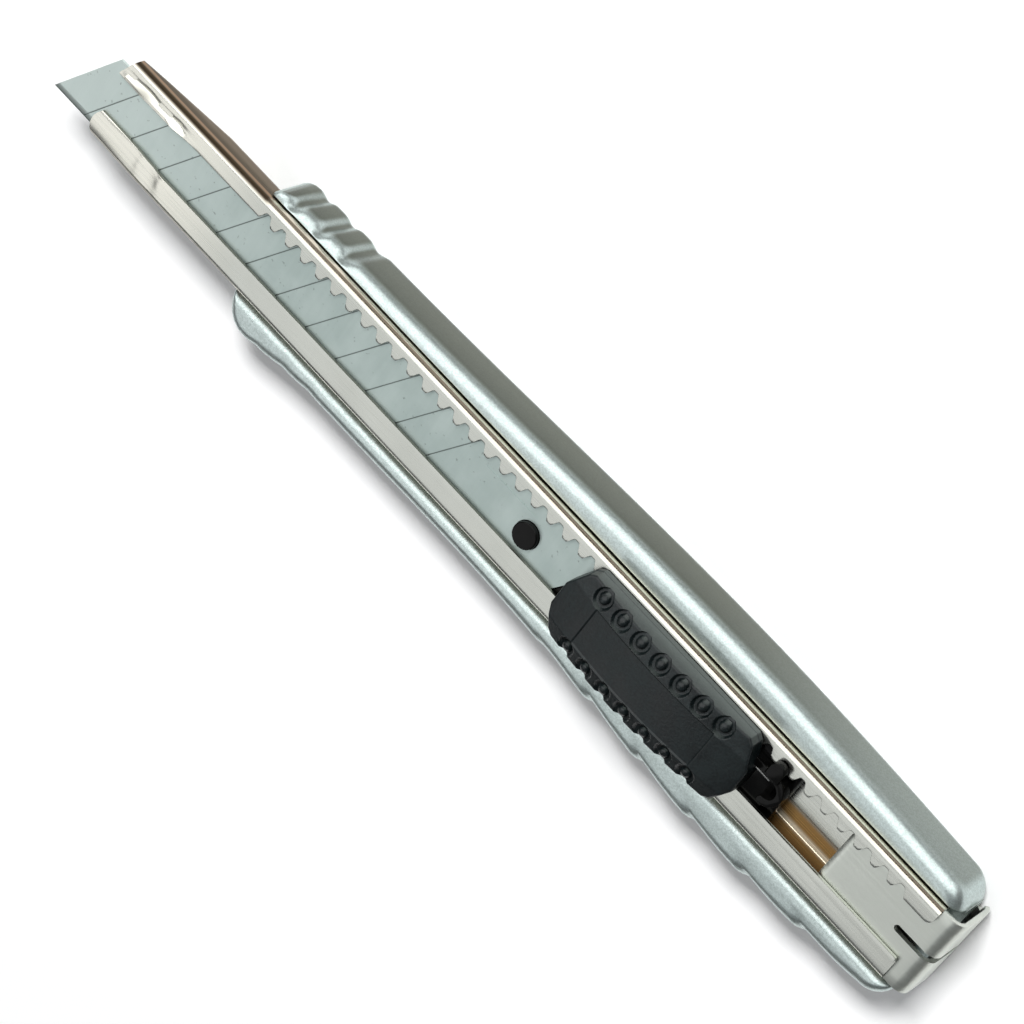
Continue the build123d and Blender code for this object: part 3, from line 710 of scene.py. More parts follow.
@dataclass(frozen=True)
class GuideSteel(SheetSteel):
    """Sheet steel of the guide: paler at the nose, with painted reflection and shade on its outer walls,
    partly tarnish at the nose, and painted reflection and shade inside the rear.
    """

    # Where the grip starts and the bare nose ends, in metres.
    nose_rear: float = 0.0
    # Paler cream towards the nose.
    nose_cream: Colour = paint(228, 226, 215)
    # Darker colour of the rails' cut edges and teeth, partly painted shade along the teeth.
    cut: Colour = paint(104, 102, 93)
    # Painted reflection: pale tan on the walls facing sideways, for the bright rim they mirror.
    tan: Colour = paint(228, 219, 200)
    # Brown, partly tarnish and partly painted shade, for the band just under the outer bends and the lower
    # nose walls.
    brown_and_shade: Colour = paint(100, 86, 70)
    # Dark brown high on the nose's outer walls, partly tarnish and partly painted shade.
    tarnish_and_shade: Colour = paint(60, 48, 33)
    # Painted highlight: a lighter line along the nose's outer walls below the bend.
    painted_highlight: Colour = paint(152, 122, 94)
    # Painted reflection and shade inside the rear: a warm golden reflection, umber painted shade by the
    # finger side's wall, and a pale painted reflection along the floor's bead.
    gold: Colour = paint(178, 142, 88)
    umber: Colour = paint(92, 64, 36)
    pale_reflection: Colour = paint(240, 230, 206)
    nose_cream_run: Span = (-4.0, 12.0, 0.0, 0.9)
    wall_away: float = 4.65
    wall_turn: Span = (0.4, 0.8, 0.0, 0.92)
    cut_and_shade_turn: Span = (0.4, 0.8, 0.0, 0.85)
    cut_and_shade_run: Span = (-104.0, -98.0, 0.0, 1.0)
    bend_turn: Span = (0.8, 0.9, 0.0, 0.85)
    bend_rise: Span = (-0.86, -0.7, 0.0, 1.0)
    slant: float = 0.18
    slant_side: float = -6.0
    stain_and_shade_run: Span = (-1.3, -0.1, 0.0, 1.0)
    stain_shade_rise: Span = (-2.6, -1.7, 0.0, 1.0)
    stain_rough: float = 0.1
    highlight_level: float = -1.15
    highlight_band: Span = (0.1, 0.32, 0.85, 0.0)
    # Painted reflection inside the rear: how metallic it stays, where it runs and where it lies.
    inner_reflection_metal: Span = (0.0, 1.0, 1.0, 0.6)
    inner_reflection_front: Span = (-60.0, -102.0, 0.0, 1.0)
    inner_reflection_rear: Span = (-118.0, -117.0, 0.0, 1.0)
    inner_reflection_half: Span = (0.4, 1.2, 0.0, 1.0)
    inner_reflection_wall: float = 4.6
    inner_reflection_floor: float = -2.6
    inner_shade_span: Span = (3.2, 4.6, 0.0, 0.7)
    looks_along: Span = (0.5, 0.9, 0.0, 1.0)
    looks_against: Span = (-0.5, -0.9, 0.0, 1.0)
    # Painted reflection: a pale line along the floor's bead.
    pale_reflection_line: float = 2.75
    pale_reflection_band: Span = (0.1, 0.7, 0.95, 0.0)

    def aged_and_shaded(self, mix: Recipe, face: Socket, rough: Socket) -> tuple[Socket, Socket]:
        """Make the nose paler, darken the cut edges, partly as painted shade, and paint reflection and shade
        on the outer walls, with some tarnish at the nose, and inside the rear.

        Args:
            mix: Recipe of the material.
            face: Colour of the new sheet.
            rough: Roughness of the new sheet.

        Returns:
            Colour and roughness of the aged sheet, with its painted reflection and shade.
        """
        upright, away = mix.math("ABSOLUTE", mix.facing("Y")), mix.apart("Y", 0.0)
        outer = mix.math("GREATER_THAN", away, self.wall_away * MM)
        inner = mix.math("LESS_THAN", away, self.wall_away * MM)
        # Painted reflection: walls facing sideways take the pale tan; the same mask limits the nose's brown.
        side = mix.times(mix.spread(upright, self.wall_turn), outer)
        # Darken the rails' cut edges ahead of the rear part, partly as painted shade along the teeth.
        edge = mix.times(mix.spread(upright, self.cut_and_shade_turn), inner, mix.along("X", self.cut_and_shade_run))
        # Painted shade, partly tarnish: a dark band on the outer walls just under the bend.
        bend_shade = mix.times(mix.spread(upright, self.bend_turn), outer, mix.along("Z", self.bend_rise))
        # Painted reflection and shade inside the rear, on a less metallic surface.
        inner_reflection = self.inside(mix)
        lean = mix.times(mix.math("SUBTRACT", mix.axis("Y"), DATUM.at("Y", self.slant_side)), self.slant)
        ahead = mix.math("ADD", mix.axis("X"), lean)
        # Brown on the nose's outer walls, partly tarnish and partly painted shade.
        stain_and_shade = mix.times(side, mix.reach(ahead, self.stain_and_shade_run, self.nose_rear))
        for share, colour in (
            (mix.reach(mix.axis("X"), self.nose_cream_run, self.nose_rear), self.nose_cream),
            (edge, self.cut),
            (side, self.tan),
            (bend_shade, self.brown_and_shade),
            (inner_reflection, self.inner_reflection_colour(mix)),
            (stain_and_shade, self.stained_and_shaded(mix)),
        ):
            face = mix.blend(share, face, colour)
        mix.set(Metallic=mix.spread(inner_reflection, self.inner_reflection_metal))
        return face, mix.math("ADD", rough, mix.times(stain_and_shade, self.stain_rough))

    def stained_and_shaded(self, mix: Recipe) -> Socket:
        """Colour of the nose's outer walls: brown, partly tarnish and partly painted shade, lighter low down
        and darker above, with a painted highlight line.

        Args:
            mix: Recipe of the material.

        Returns:
            The colour's socket.
        """
        # Painted shade: the brown grows darker higher up the wall.
        brown = mix.blend(mix.along("Z", self.stain_shade_rise), self.brown_and_shade, self.tarnish_and_shade)
        # Painted highlight: a lighter line along the wall below the bend.
        return mix.blend(mix.reach(mix.apart("Z", self.highlight_level), self.highlight_band), brown, self.painted_highlight)

    def inner_reflection_colour(self, mix: Recipe) -> Socket:
        """Colour of the painted reflection inside: golden, with painted shade darker by the wall and a pale
        painted reflection along the floor's bead.

        Args:
            mix: Recipe of the material.

        Returns:
            The colour's socket.
        """
        # Painted shade: darker umber by the finger side's wall; painted reflection: a pale line along the
        # floor's bead.
        inner_reflection = mix.blend(mix.along("Y", self.inner_shade_span), self.gold, self.umber)
        low = mix.math("LESS_THAN", mix.axis("Z"), DATUM.at("Z", self.inner_reflection_floor))
        pale_reflection = mix.times(low, mix.reach(mix.apart("Y", self.pale_reflection_line), self.pale_reflection_band))
        return mix.blend(pale_reflection, inner_reflection, self.pale_reflection)

    def inside(self, mix: Recipe) -> Socket:
        """Share of the painted reflection inside the rear half: under the rails, on the finger side's wall
        and floor.

        Args:
            mix: Recipe of the material.

        Returns:
            The share's socket.
        """
        under = mix.spread(mix.facing("Z"), self.looks_against)
        deep = mix.math("GREATER_THAN", mix.axis("Y"), DATUM.at("Y", self.inner_reflection_wall))
        wall = mix.times(mix.spread(mix.facing("Y"), self.looks_against), deep)
        low = mix.math("LESS_THAN", mix.axis("Z"), DATUM.at("Z", self.inner_reflection_floor))
        floor = mix.times(low, mix.along("Y", self.inner_reflection_half), mix.spread(mix.facing("Z"), self.looks_along))
        rear = mix.times(mix.along("X", self.inner_reflection_front), mix.along("X", self.inner_reflection_rear))
        return mix.times(rear, mix.math("MAXIMUM", floor, mix.math("MAXIMUM", under, wall)))


@dataclass(frozen=True)
class BladeSteel:
    """Grey-green blade strip with ground edge, oil specks and dark score lines."""

    light: Colour = paint(191, 204, 200)
    dark: Colour = paint(179, 193, 189)
    line: Colour = paint(80, 86, 84)
    ground: Colour = paint(116, 124, 120)
    clean: Colour = paint(222, 233, 229)
    segment: float = 5.0
    score_angle: float = 59.0
    scores: int = 12
    score_band: Span = (0.008, 0.022, 1.0, 0.0)
    score_share: float = 0.75
    score_margin: float = 0.5
    streak: Grain = Grain(1.0)
    streak_scale: tuple[float, float, float] = (2600.0, 120.0, 2600.0)
    streak_share: float = 0.05
    cloud: Grain = Grain(210.0, 4.0)
    oil: Grain = Grain(1500.0)
    specks: Span = (0.66, 0.74, 0.0, 0.55)
    clean_run: Span = (4.0, 34.0, 0.55, 0.0)
    ground_band: Span = (0.3, 0.85, 0.6, 0.0)
    edge_band: Span = (0.1, 0.4, 1.0, 0.0)
    metal: float = 0.9
    roughness: Pair = (0.45, 0.5)
    speck_relief: Relief = Relief(0.012, 0.6)
    streak_relief: Relief = Relief(0.0008, 0.3)

    def score(self, mix: Recipe, x: Socket, y: Socket) -> Socket:
        """Share of the score lines.

        Args:
            mix: Recipe of the material.
            x: Distance back from the tip.
            y: Distance in from the cutting edge.

        Returns:
            The share's socket, 1 on a line.
        """
        slope = 1 / math.tan(math.radians(self.score_angle))
        along = mix.math("DIVIDE", mix.math("SUBTRACT", x, mix.times(y, slope)), self.segment * MM)
        near = mix.math("ABSOLUTE", mix.math("SUBTRACT", along, mix.math("ROUND", along)))
        first = mix.math("GREATER_THAN", along, self.score_margin)
        last = mix.math("LESS_THAN", along, self.scores + self.score_margin)
        return mix.times(mix.spread(near, self.score_band), mix.times(first, last))

    def make(self, tip: Vector) -> bpy.types.Material:
        """Build the material.

        Args:
            tip: Tip of the blade at its cutting edge.

        Returns:
            The material.
        """
        mix = Recipe("blade_strip_steel")
        x, y = mix.math("SUBTRACT", tip.x, mix.axis("X")), mix.math("SUBTRACT", tip.y, mix.axis("Y"))
        streak = mix.noise(self.streak, mix.stretched(self.streak_scale))
        speck = mix.spread(mix.noise(self.oil), self.specks)
        edge = mix.math("MAXIMUM", mix.reach(y, self.ground_band), mix.reach(y, self.edge_band))
        face = mix.blend(mix.follow(mix.noise(self.cloud)), self.dark, self.light)
        for share, colour in (
            (mix.times(streak, self.streak_share), self.dark),
            (mix.reach(x, self.clean_run), self.clean),
            (speck, self.ground),
            (edge, self.ground),
            (mix.times(self.score(mix, x, y), self.score_share), self.line),
        ):
            face = mix.blend(share, face, colour)
        mix.set(Base_Color=face, Metallic=self.metal, Roughness=mix.follow(streak, self.roughness))
        mix.set(Normal=mix.relief(speck, self.speck_relief, mix.relief(streak, self.streak_relief)))
        return mix.material


@dataclass(frozen=True)
class MouldedBlack:
    """Black moulding, from a grained matte pad to a glossy carrier, with an optional painted sheen on its
    sides.
    """

    name: str
    light: Colour
    dark: Colour
    roughness: Pair
    grain: Grain
    grain_relief: Relief
    shine: float
    # Painted sheen: a lighter grey on faces turned sideways, stronger low down.
    side_sheen: Colour | None = None
    cloud: Grain = Grain(320.0)
    grain_share: float = 0.5
    mottle: Span = (0.35, 0.7, 0.0, 1.0)
    sheen_turn: Span = (0.7, 0.95, 0.0, 0.9)
    sheen_rise: Span = (2.8, 0.9, 0.45, 1.0)

    def make(self) -> bpy.types.Material:
        """Build the material.

        Returns:
            The material.
        """
        mix = Recipe(self.name)
        grain, cloud = mix.noise(self.grain), mix.noise(self.cloud)
        share = mix.spread(mix.weigh(grain, cloud, self.grain_share), self.mottle)
        face = mix.blend(share, self.dark, self.light)
        # Painted sheen: lighten the faces turned sideways, more so low down.
        if self.side_sheen is not None:
            side = mix.spread(mix.math("ABSOLUTE", mix.facing("Y")), self.sheen_turn)
            face = mix.blend(mix.times(side, mix.along("Z", self.sheen_rise)), face, self.side_sheen)
        mix.set(Base_Color=face, Roughness=mix.follow(cloud, self.roughness))
        mix.set(Normal=mix.relief(grain, self.grain_relief), Specular_IOR_Level=self.shine)
        return mix.material


@dataclass(frozen=True)
class FloorPaint:
    """Matte white floor with hardly any cloud in it."""

    light: Colour = paint(252, 252, 252)
    dark: Colour = paint(250, 250, 250)
    cloud: Grain = Grain(6.0, 2.0)
    roughness: float = 0.9
    shine: float = 0.0

    def make(self) -> bpy.types.Material:
        """Build the material.

        Returns:
            The material.
        """
        mix = Recipe("pale_floor")
        tone = mix.blend(mix.follow(mix.noise(self.cloud)), self.dark, self.light)
        mix.set(Base_Color=tone, Roughness=self.roughness, Specular_IOR_Level=self.shine)
        return mix.material


@dataclass(frozen=True)
class Finishes:
    """All finishes of the knife, each made once."""

    silver: bpy.types.Material
    guide: bpy.types.Material
    clip: bpy.types.Material
    rivet: bpy.types.Material
    leaf: bpy.types.Material
    blade: bpy.types.Material
    pad: bpy.types.Material
    carrier: bpy.types.Material

    @classmethod
    def make(cls) -> "Finishes":
        """Build every material.

        Returns:
            The finishes.
        """
        guide = GuideSteel(
            "guide_sheet_steel", paint(197, 199, 192), paint(186, 188, 181), (0.18, 0.3),
            nose_rear=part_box("handle_body")[1].x,
        )
        clip = SheetSteel("clip_sheet_steel", paint(214, 218, 210), paint(206, 210, 202), (0.34, 0.46))
        rivet = SheetSteel("rivet_steel", paint(190, 190, 184), paint(168, 168, 162), (0.3, 0.45))
        leaf = SheetSteel("leaf_spring_steel", paint(214, 214, 210), paint(190, 190, 186), (0.16, 0.28))
        pad = MouldedBlack(
            "pad_matte_black", paint(20, 28, 29), paint(10, 15, 16), (0.28, 0.42),
            grain=Grain(3000.0), grain_relief=Relief(0.03, 0.8), shine=0.36, side_sheen=paint(82, 88, 85),
        )
        carrier = MouldedBlack(
            "carrier_gloss_black", paint(10, 10, 9), paint(5, 5, 5), (0.1, 0.2),
            grain=Grain(1200.0), grain_relief=Relief(0.004, 0.8), shine=0.13,
        )
        return cls(
            silver=SilverPaint().make(),
            guide=guide.make(),
            clip=clip.make(),
            rivet=rivet.make(),
            leaf=leaf.make(),
            blade=BladeSteel().make(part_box("blade")[1]),
            pad=pad.make(),
            carrier=carrier.make(),
        )


def fit_out(
    piece: bpy.types.Object, finish: bpy.types.Material, body: Body, node: str
) -> None:
    """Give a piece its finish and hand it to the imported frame.

    Args:
        piece: Finished piece.
        finish: Its material.
        body: Body that it rides on.
        node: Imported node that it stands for.
    """
    piece.data.materials.clear()
    piece.data.materials.append(finish)
    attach(piece, body.value)
    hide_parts(node)
    LOG.info("%s: %d faces on %s", piece.name, len(piece.data.polygons), body.value)


class Side(IntEnum):
    """Sides of the grip, by the sign of y."""

    PALM = -1
    FINGER = 1


@dataclass(frozen=True)
class Chord:
    """Straight plan line of one section, from its palm end to its finger end."""

    palm: np.ndarray
    finger: np.ndarray

    def x_at(self, y: float | np.ndarray) -> float | np.ndarray:
        """Place along the grip at each y."""
        run, width = self.finger[0] - self.palm[0], self.finger[1] - self.palm[1]
        return self.palm[0] + run * (y - self.palm[1]) / width

    def plan(self, y: np.ndarray) -> np.ndarray:
        """Plan points of the line at each y."""
        return np.stack([self.x_at(y), y], 1)

    def post(self, y: float, levels: Sequence[float]) -> np.ndarray:
        """Points over one place of the line, at each level."""
        return np.array([(self.x_at(y), y, level) for level in levels])


@dataclass
class Grip:
    """Die-cast silver grip: rounded walls around the guide, flutes, guard and finger lobes."""

    rear: float = -131.0
    back: float = -8.0
    rim: float = -1.4
    palm_inner: float = 5.86
    finger_inner: float = 6.7
    palm_inner_round: float = 0.15
    finger_inner_round: float = 1.5
    least_wall: float = 0.06
    trough_floor: float = -5.6
    trough_foot: float = 0.6
    trough_wall: float = -3.6
    rib_top: float = -4.02
    rim_round: float = 2.1
    finger_rim_round: float = 1.7
    back_round: float = 1.15
    end_round: float = 3.2
    front_round: float = 0.6
    corner_open: float = -26.5
    guard_crest: float = -28.4
    guard_spread: float = 3.0
    guard_swell: float = 0.45
    palm_stops: tuple[Pair, ...] = (
        (-131.0, -8.2), (-100.0, -9.26), (-75.0, -8.75), (-45.0, -7.5), (-14.5, -7.15),
    )
    finger_stops: tuple[Pair, ...] = (
        (-131.0, 9.35), (-119.0, 10.75), (-105.0, 11.45), (-88.0, 10.7), (-74.0, 9.7),
        (-46.0, 9.57), (-36.0, 9.85), (-29.7, 10.6), (-14.5, 10.6),
    )
    palm_corner: tuple[Pair, ...] = (
        (-22.5, -6.0), (-22.75, -6.4), (-23.2, -6.76), (-23.85, -7.03), (-24.6, -7.16), (-25.6, -7.22),
    )
    guard_bend: tuple[Pair, ...] = (
        (-24.75, 6.8), (-25.05, 7.7), (-25.45, 8.6), (-26.05, 9.4), (-26.95, 10.1), (-28.1, 10.5),
        (-29.7, 10.55),
    )
    slant_end: float = -42.0
    rib_places: tuple[float, ...] = (-31.0, -56.0, -98.0, -122.0)
    rib_half: float = 1.25
    recess_front: float = -90.7
    recess_half: float = 5.0
    recess_round: float = 3.0
    recess_depth: float = 1.4
    recess_margin: float = 0.25
    rivet_places: Pair = RIVET_PLACES
    rivet_bore: float = 1.66
    rivet_bore_depth: float = 0.78
    rivet_bore_sides: int = 40
    flute_start: float = -21.2
    flute_lean: float = 0.13
    flute_pitch: float = 4.1
    flute_count: int = 3
    flute_depth: float = 0.55
    flute_sharpness: float = 2.2
    flute_lead: float = 0.4
    flute_runout: float = 0.5
    guard_flute_start: float = -26.6
    guard_flute_depth: float = 0.12
    lobe_start: float = -78.6
    lobe_pitch: float = 8.4
    lobe_count: int = 6
    lobe_depth: float = 0.5
    lobe_sweep: float = 1.1
    lobe_crest: float = 0.8
    lobe_fullness: float = 0.9
    lobe_lead: tuple[float, float] = (-0.4, 0.5)
    lobe_runout: float = 0.7
    lobe_reach: float = 1.7
    crease_drop: float = 0.45
    crease_ease: float = 0.5
    plan_step: float = 0.4
    section_step: float = 0.28
    step_gap: float = 0.01
    front_share: float = 0.12
    front_sections: int = 14
    slant_sections: int = 90
    end_sections: int = 22
    end_turn: float = 88.5
    corner_points: int = 14
    top_points: int = 36
    wall_points: int = 7
    back_points: int = 10

    def __post_init__(self) -> None:
        """Fit the plan curves and lay out the lines that the roundings follow."""
        self.palm = SideCurve(self.palm_stops)
        self.finger = SideCurve(self.finger_stops)
        palm, finger = self.side_line(Side.PALM), self.side_line(Side.FINGER)
        self.rim_line = np.concatenate([palm[1:], finger[::-1]])
        self.front_line = np.array([self.palm_corner[1], self.palm_corner[0], self.guard_bend[0]])

    def side_line(self, side: Side) -> np.ndarray:
        """Plan line of one side from the front to the rear corner's end.

        Args:
            side: Side of the grip.

        Returns:
            Corners of the line.
        """
        on_palm = side is Side.PALM
        curve, lead = (self.palm, self.palm_corner) if on_palm else (self.finger, self.guard_bend)
        knee = self.rear + self.end_round
        x = np.arange(lead[-1][0] - self.plan_step, knee, -self.plan_step)
        run = np.stack([x, curve(x)], 1)
        middle = float(curve(np.array(knee))) - side * self.end_round
        angles = np.radians(np.linspace(0, 90, self.corner_points))
        corner_x = knee - self.end_round * np.sin(angles)
        corner_y = middle + side * self.end_round * np.cos(angles)
        return np.concatenate([np.array(lead), run, np.stack([corner_x, corner_y], 1)])

    def marks(self) -> np.ndarray:
        """Places of the sections behind the slanted front, close together at every step.

        Returns:
            Places along the grip, from front to rear.
        """
        angles = np.radians(np.linspace(0, self.end_turn, self.end_sections))
        marks = list(np.arange(self.slant_end, self.rear + self.end_round, -self.section_step))
        marks += list(self.rear + self.end_round * (1 - np.sin(angles)))
        steps = [self.recess_front]
        for place in self.rib_places[1:]:
            steps += [place + self.rib_half, place - self.rib_half]
        for step in steps:
            marks += [step + self.step_gap, step - self.step_gap]
        return np.array(sorted(set(marks), reverse=True))

    def chords(self) -> list[Chord]:
        """Plan lines of all sections, slanted at the front and square behind it.

        Returns:
            One line for each section, from front to rear.
        """
        marks, split = self.marks(), self.front_share
        front_shares = np.linspace(0, split, self.front_sections)
        shares = np.concatenate([front_shares, np.linspace(split, 1, self.slant_sections)[1:-1]])
        ends = []
        for side in Side:
            line = self.side_line(side)
            front = line[line[:, 0] > self.slant_end]
            last = np.array([[self.slant_end, np.interp(-self.slant_end, -line[:, 0], line[:, 1])]])
            lead = along_line(np.concatenate([front, last]), shares)
            rest = np.stack([marks, np.interp(-marks, -line[:, 0], line[:, 1])], 1)
            ends.append(np.concatenate([lead, rest]))
        return [Chord(palm, finger) for palm, finger in zip(*ends)]

    def flutes(self, x: np.ndarray, start: float, depth: float) -> np.ndarray:
        """Depth of a row of rounded bumps.

        Args:
            x: Places along the grip.
            start: Front of the first bump.
            depth: Depth of the creases between them.

        Returns:
            How far the side lies inside its outline.
        """
        share, count = (start - x) / self.flute_pitch, self.flute_count
        end = count + self.flute_runout
        inside = (share > 0) & (share < end)
        fade = np.where(share > count, 1 - smooth(count, end, share), 1.0)
        cup = np.where(share > count, 1.0, (0.5 + 0.5 * np.cos(2 * math.pi * share)) ** self.flute_sharpness)
        return np.where(inside, depth * cup * fade * smooth(0.0, self.flute_lead, share), 0.0)

    def lobes(self, x: np.ndarray, inward: np.ndarray) -> np.ndarray:
        """Depth of the finger lobes, which lie over each other like scales.

        Args:
            x: Places along the grip.
            inward: Distances in from the outline.

        Returns:
            How far the side lies inside its outline.
        """
        share = (self.lobe_start - (x - self.lobe_sweep * inward)) / self.lobe_pitch
        part, crest = share - np.floor(share), self.lobe_crest
        rise = np.sin(np.clip(part / crest, 0, 1) * math.pi / 2) ** self.lobe_fullness
        lobe = np.where(part < crest, rise, 1 - smooth(crest, 1.0, part))
        last = 1 - smooth(self.lobe_count - self.lobe_runout, self.lobe_count, share)
        fade = smooth(*self.lobe_lead, share) * last
        return self.lobe_depth * (1 - lobe) * fade * np.exp(-((inward / self.lobe_reach) ** 2))

    def dents(self, side: Side, skin: np.ndarray, outer: float) -> np.ndarray:
        """Depth of the flutes and lobes on one side of a section.

        Args:
            side: Side of the grip.
            skin: Points of the plain skin.
            outer: Place of the outline across the grip.

        Returns:
            How far each point is pressed in.
        """
        x, z = skin[:, 0], skin[:, 2]
        if side is Side.PALM:
            return self.flutes(x + self.flute_lean * (self.rim - z), self.flute_start, self.flute_depth)
        inward = np.where(z > self.back + self.rim_round, np.abs(outer - skin[:, 1]), 0.0)
        return self.flutes(x, self.guard_flute_start, self.guard_flute_depth) + self.lobes(x, inward)

    def rim_radius(self, side: Side, chord: Chord, plan: np.ndarray) -> float | np.ndarray:
        """Rounding of the rim: opening behind the palm's corner, tighter over the guard.

        Args:
            side: Side of the grip.
            chord: Plan line of the section.
            plan: Plan points of the section's top.

        Returns:
            The radius, one for each point on the palm side.
        """
        if side is Side.FINGER:
            crest = float(bell(chord.finger[0], self.guard_crest, self.guard_spread))
            return self.finger_rim_round - self.guard_swell * crest
        opened = 1 - smooth(self.corner_open, self.palm_corner[0][0], plan[:, 0])
        return self.front_round + (self.rim_round - self.front_round) * opened

    def edge_drop(self, plan: np.ndarray, radius: float | np.ndarray, on_edge: int) -> np.ndarray:
        """Drop of the rounded rim and the rounded front edge together.

        Args:
            plan: Plan points.
            radius: Rounding of the rim.
            on_edge: Index of the point that lies on the outline.

        Returns:
            How far the surface lies below its face at each point.
        """
        inset = line_distance(plan, self.rim_line)
        inset[on_edge] = 0.0
        front = quarter_drop(line_distance(plan, self.front_line), self.front_round)
        return np.hypot(quarter_drop(inset, radius), front)

    def skin(self, side: Side, chord: Chord, inner: float) -> np.ndarray:
        """Outer skin of one side of a section, from the trough over the rim to the back.

        Args:
            side: Side of the grip.
            chord: Plan line of the section.
            inner: Place of the trough's wall across the grip.

        Returns:
            Points in millimetres.
        """
        on_palm = side is Side.PALM
        end = chord.palm if on_palm else chord.finger
        least = abs(inner) + self.least_wall
        outer = end[1] if side * end[1] > least else side * least
        y = inner + (outer - inner) * (0.5 - 0.5 * np.cos(np.radians(np.linspace(0, 180, self.top_points))))
        plan = chord.plan(y)
        soft = self.palm_inner_round if on_palm else self.finger_inner_round
        drop = self.edge_drop(plan, self.rim_radius(side, chord, plan), -1)
        drop = np.hypot(drop, quarter_drop(np.abs(y - inner), soft))
        top = np.column_stack([plan, self.rim - drop])
        wall_z = np.linspace(top[-1, 2], self.back + self.back_round, self.wall_points + 1)[1:]
        wall = np.column_stack([np.tile((plan[-1, 0], outer), (self.wall_points, 1)), wall_z])
        turn = np.sin(np.radians(np.linspace(0, 90, 2 * self.back_points)))[::-2]
        low_y = outer - (outer - side * (self.recess_half + self.recess_margin)) * (1 - turn)
        low_plan = chord.plan(low_y)
        low = np.column_stack([low_plan, self.back + self.edge_drop(low_plan, self.back_round, 0)])[1:]
        skin = np.concatenate([top, wall, low])
        depth = self.dents(side, skin, outer)
        share = np.clip(np.abs(skin[:, 1] - inner) / abs(outer - inner), 0, 1)
        skin[:, 1] -= side * depth * share
        crease = self.crease_drop * depth * smooth(0.0, self.crease_ease, share)
        skin[: len(top), 2] -= crease[: len(top)]
        return skin

    def section(self, chord: Chord) -> np.ndarray:
        """Closed loop of one section.

        Args:
            chord: Plan line of the section.

        Returns:
            Points of the loop in millimetres.
        """
        x = float(chord.x_at(0.0))
        rib = any(abs(x - place) < self.rib_half for place in self.rib_places)
        floor = self.rib_top if rib else self.trough_floor
        ceiling = self.back + (self.recess_depth if x < self.recess_front else 0.0)
        runs = []
        for side, half in ((Side.PALM, self.palm_inner), (Side.FINGER, self.finger_inner)):
            inner = side * half
            foot = chord.post(inner, (floor, floor + self.trough_foot, self.trough_wall))
            tail = chord.post(side * self.recess_width(x), (self.back, ceiling))
            runs.append(np.concatenate([foot, self.skin(side, chord, inner), tail]))
        return np.concatenate([runs[0], runs[1][::-1]])

    def recess_width(self, x: float) -> float:
        """Half width of the clip's recess in the back at x.

        Args:
            x: Place along the grip.

        Returns:
            Half the width there.
        """
        reach = min(max(self.recess_front - x, 0.0), self.recess_round)
        rest = self.recess_round - reach
        return self.recess_half - self.recess_round + math.sqrt(self.recess_round**2 - rest**2)

    def build(self) -> bpy.types.Object:
        """Skin the sections and bore the rivet seats.

        Returns:
            The new piece at the origin.
        """
        piece = MeshShop.loft("grip_shell", np.stack([self.section(chord) for chord in self.chords()]))
        work = bmesh.new()
        for place in self.rivet_places:
            bmesh.ops.create_cone(
                work, cap_ends=True, segments=self.rivet_bore_sides,
                radius1=self.rivet_bore * MM, radius2=self.rivet_bore * MM,
                depth=2 * self.rivet_bore_depth * MM,
                matrix=Matrix.Translation(DATUM.point(place, 0.0, self.back)),
            )
        MeshShop.cut(piece, MeshShop.from_work("rivet_seats", work))
        return piece

    def dress(self, finishes: Finishes) -> None:
        """Build the grip and give it its paint."""
        fit_out(self.build(), finishes.silver, Body.HANDLE, "handle_body")


@dataclass(frozen=True)
class PressMark:
    """Soft mark pressed into the guide's nose: its place along the guide, its spread and its height."""

    place: float
    spread: float
    height: float


def pressed(base: float, marks: Sequence[PressMark], x: float) -> float:
    """Height of a row of press marks at one place.

    Args:
        base: Height between the marks.
        marks: Marks of the row.
        x: Place along the guide.

    Returns:
        The base and every mark's share of height there.
    """
    height = base
    for mark in marks:
        height = height + mark.height * bell(x, mark.place, mark.spread)
    return height


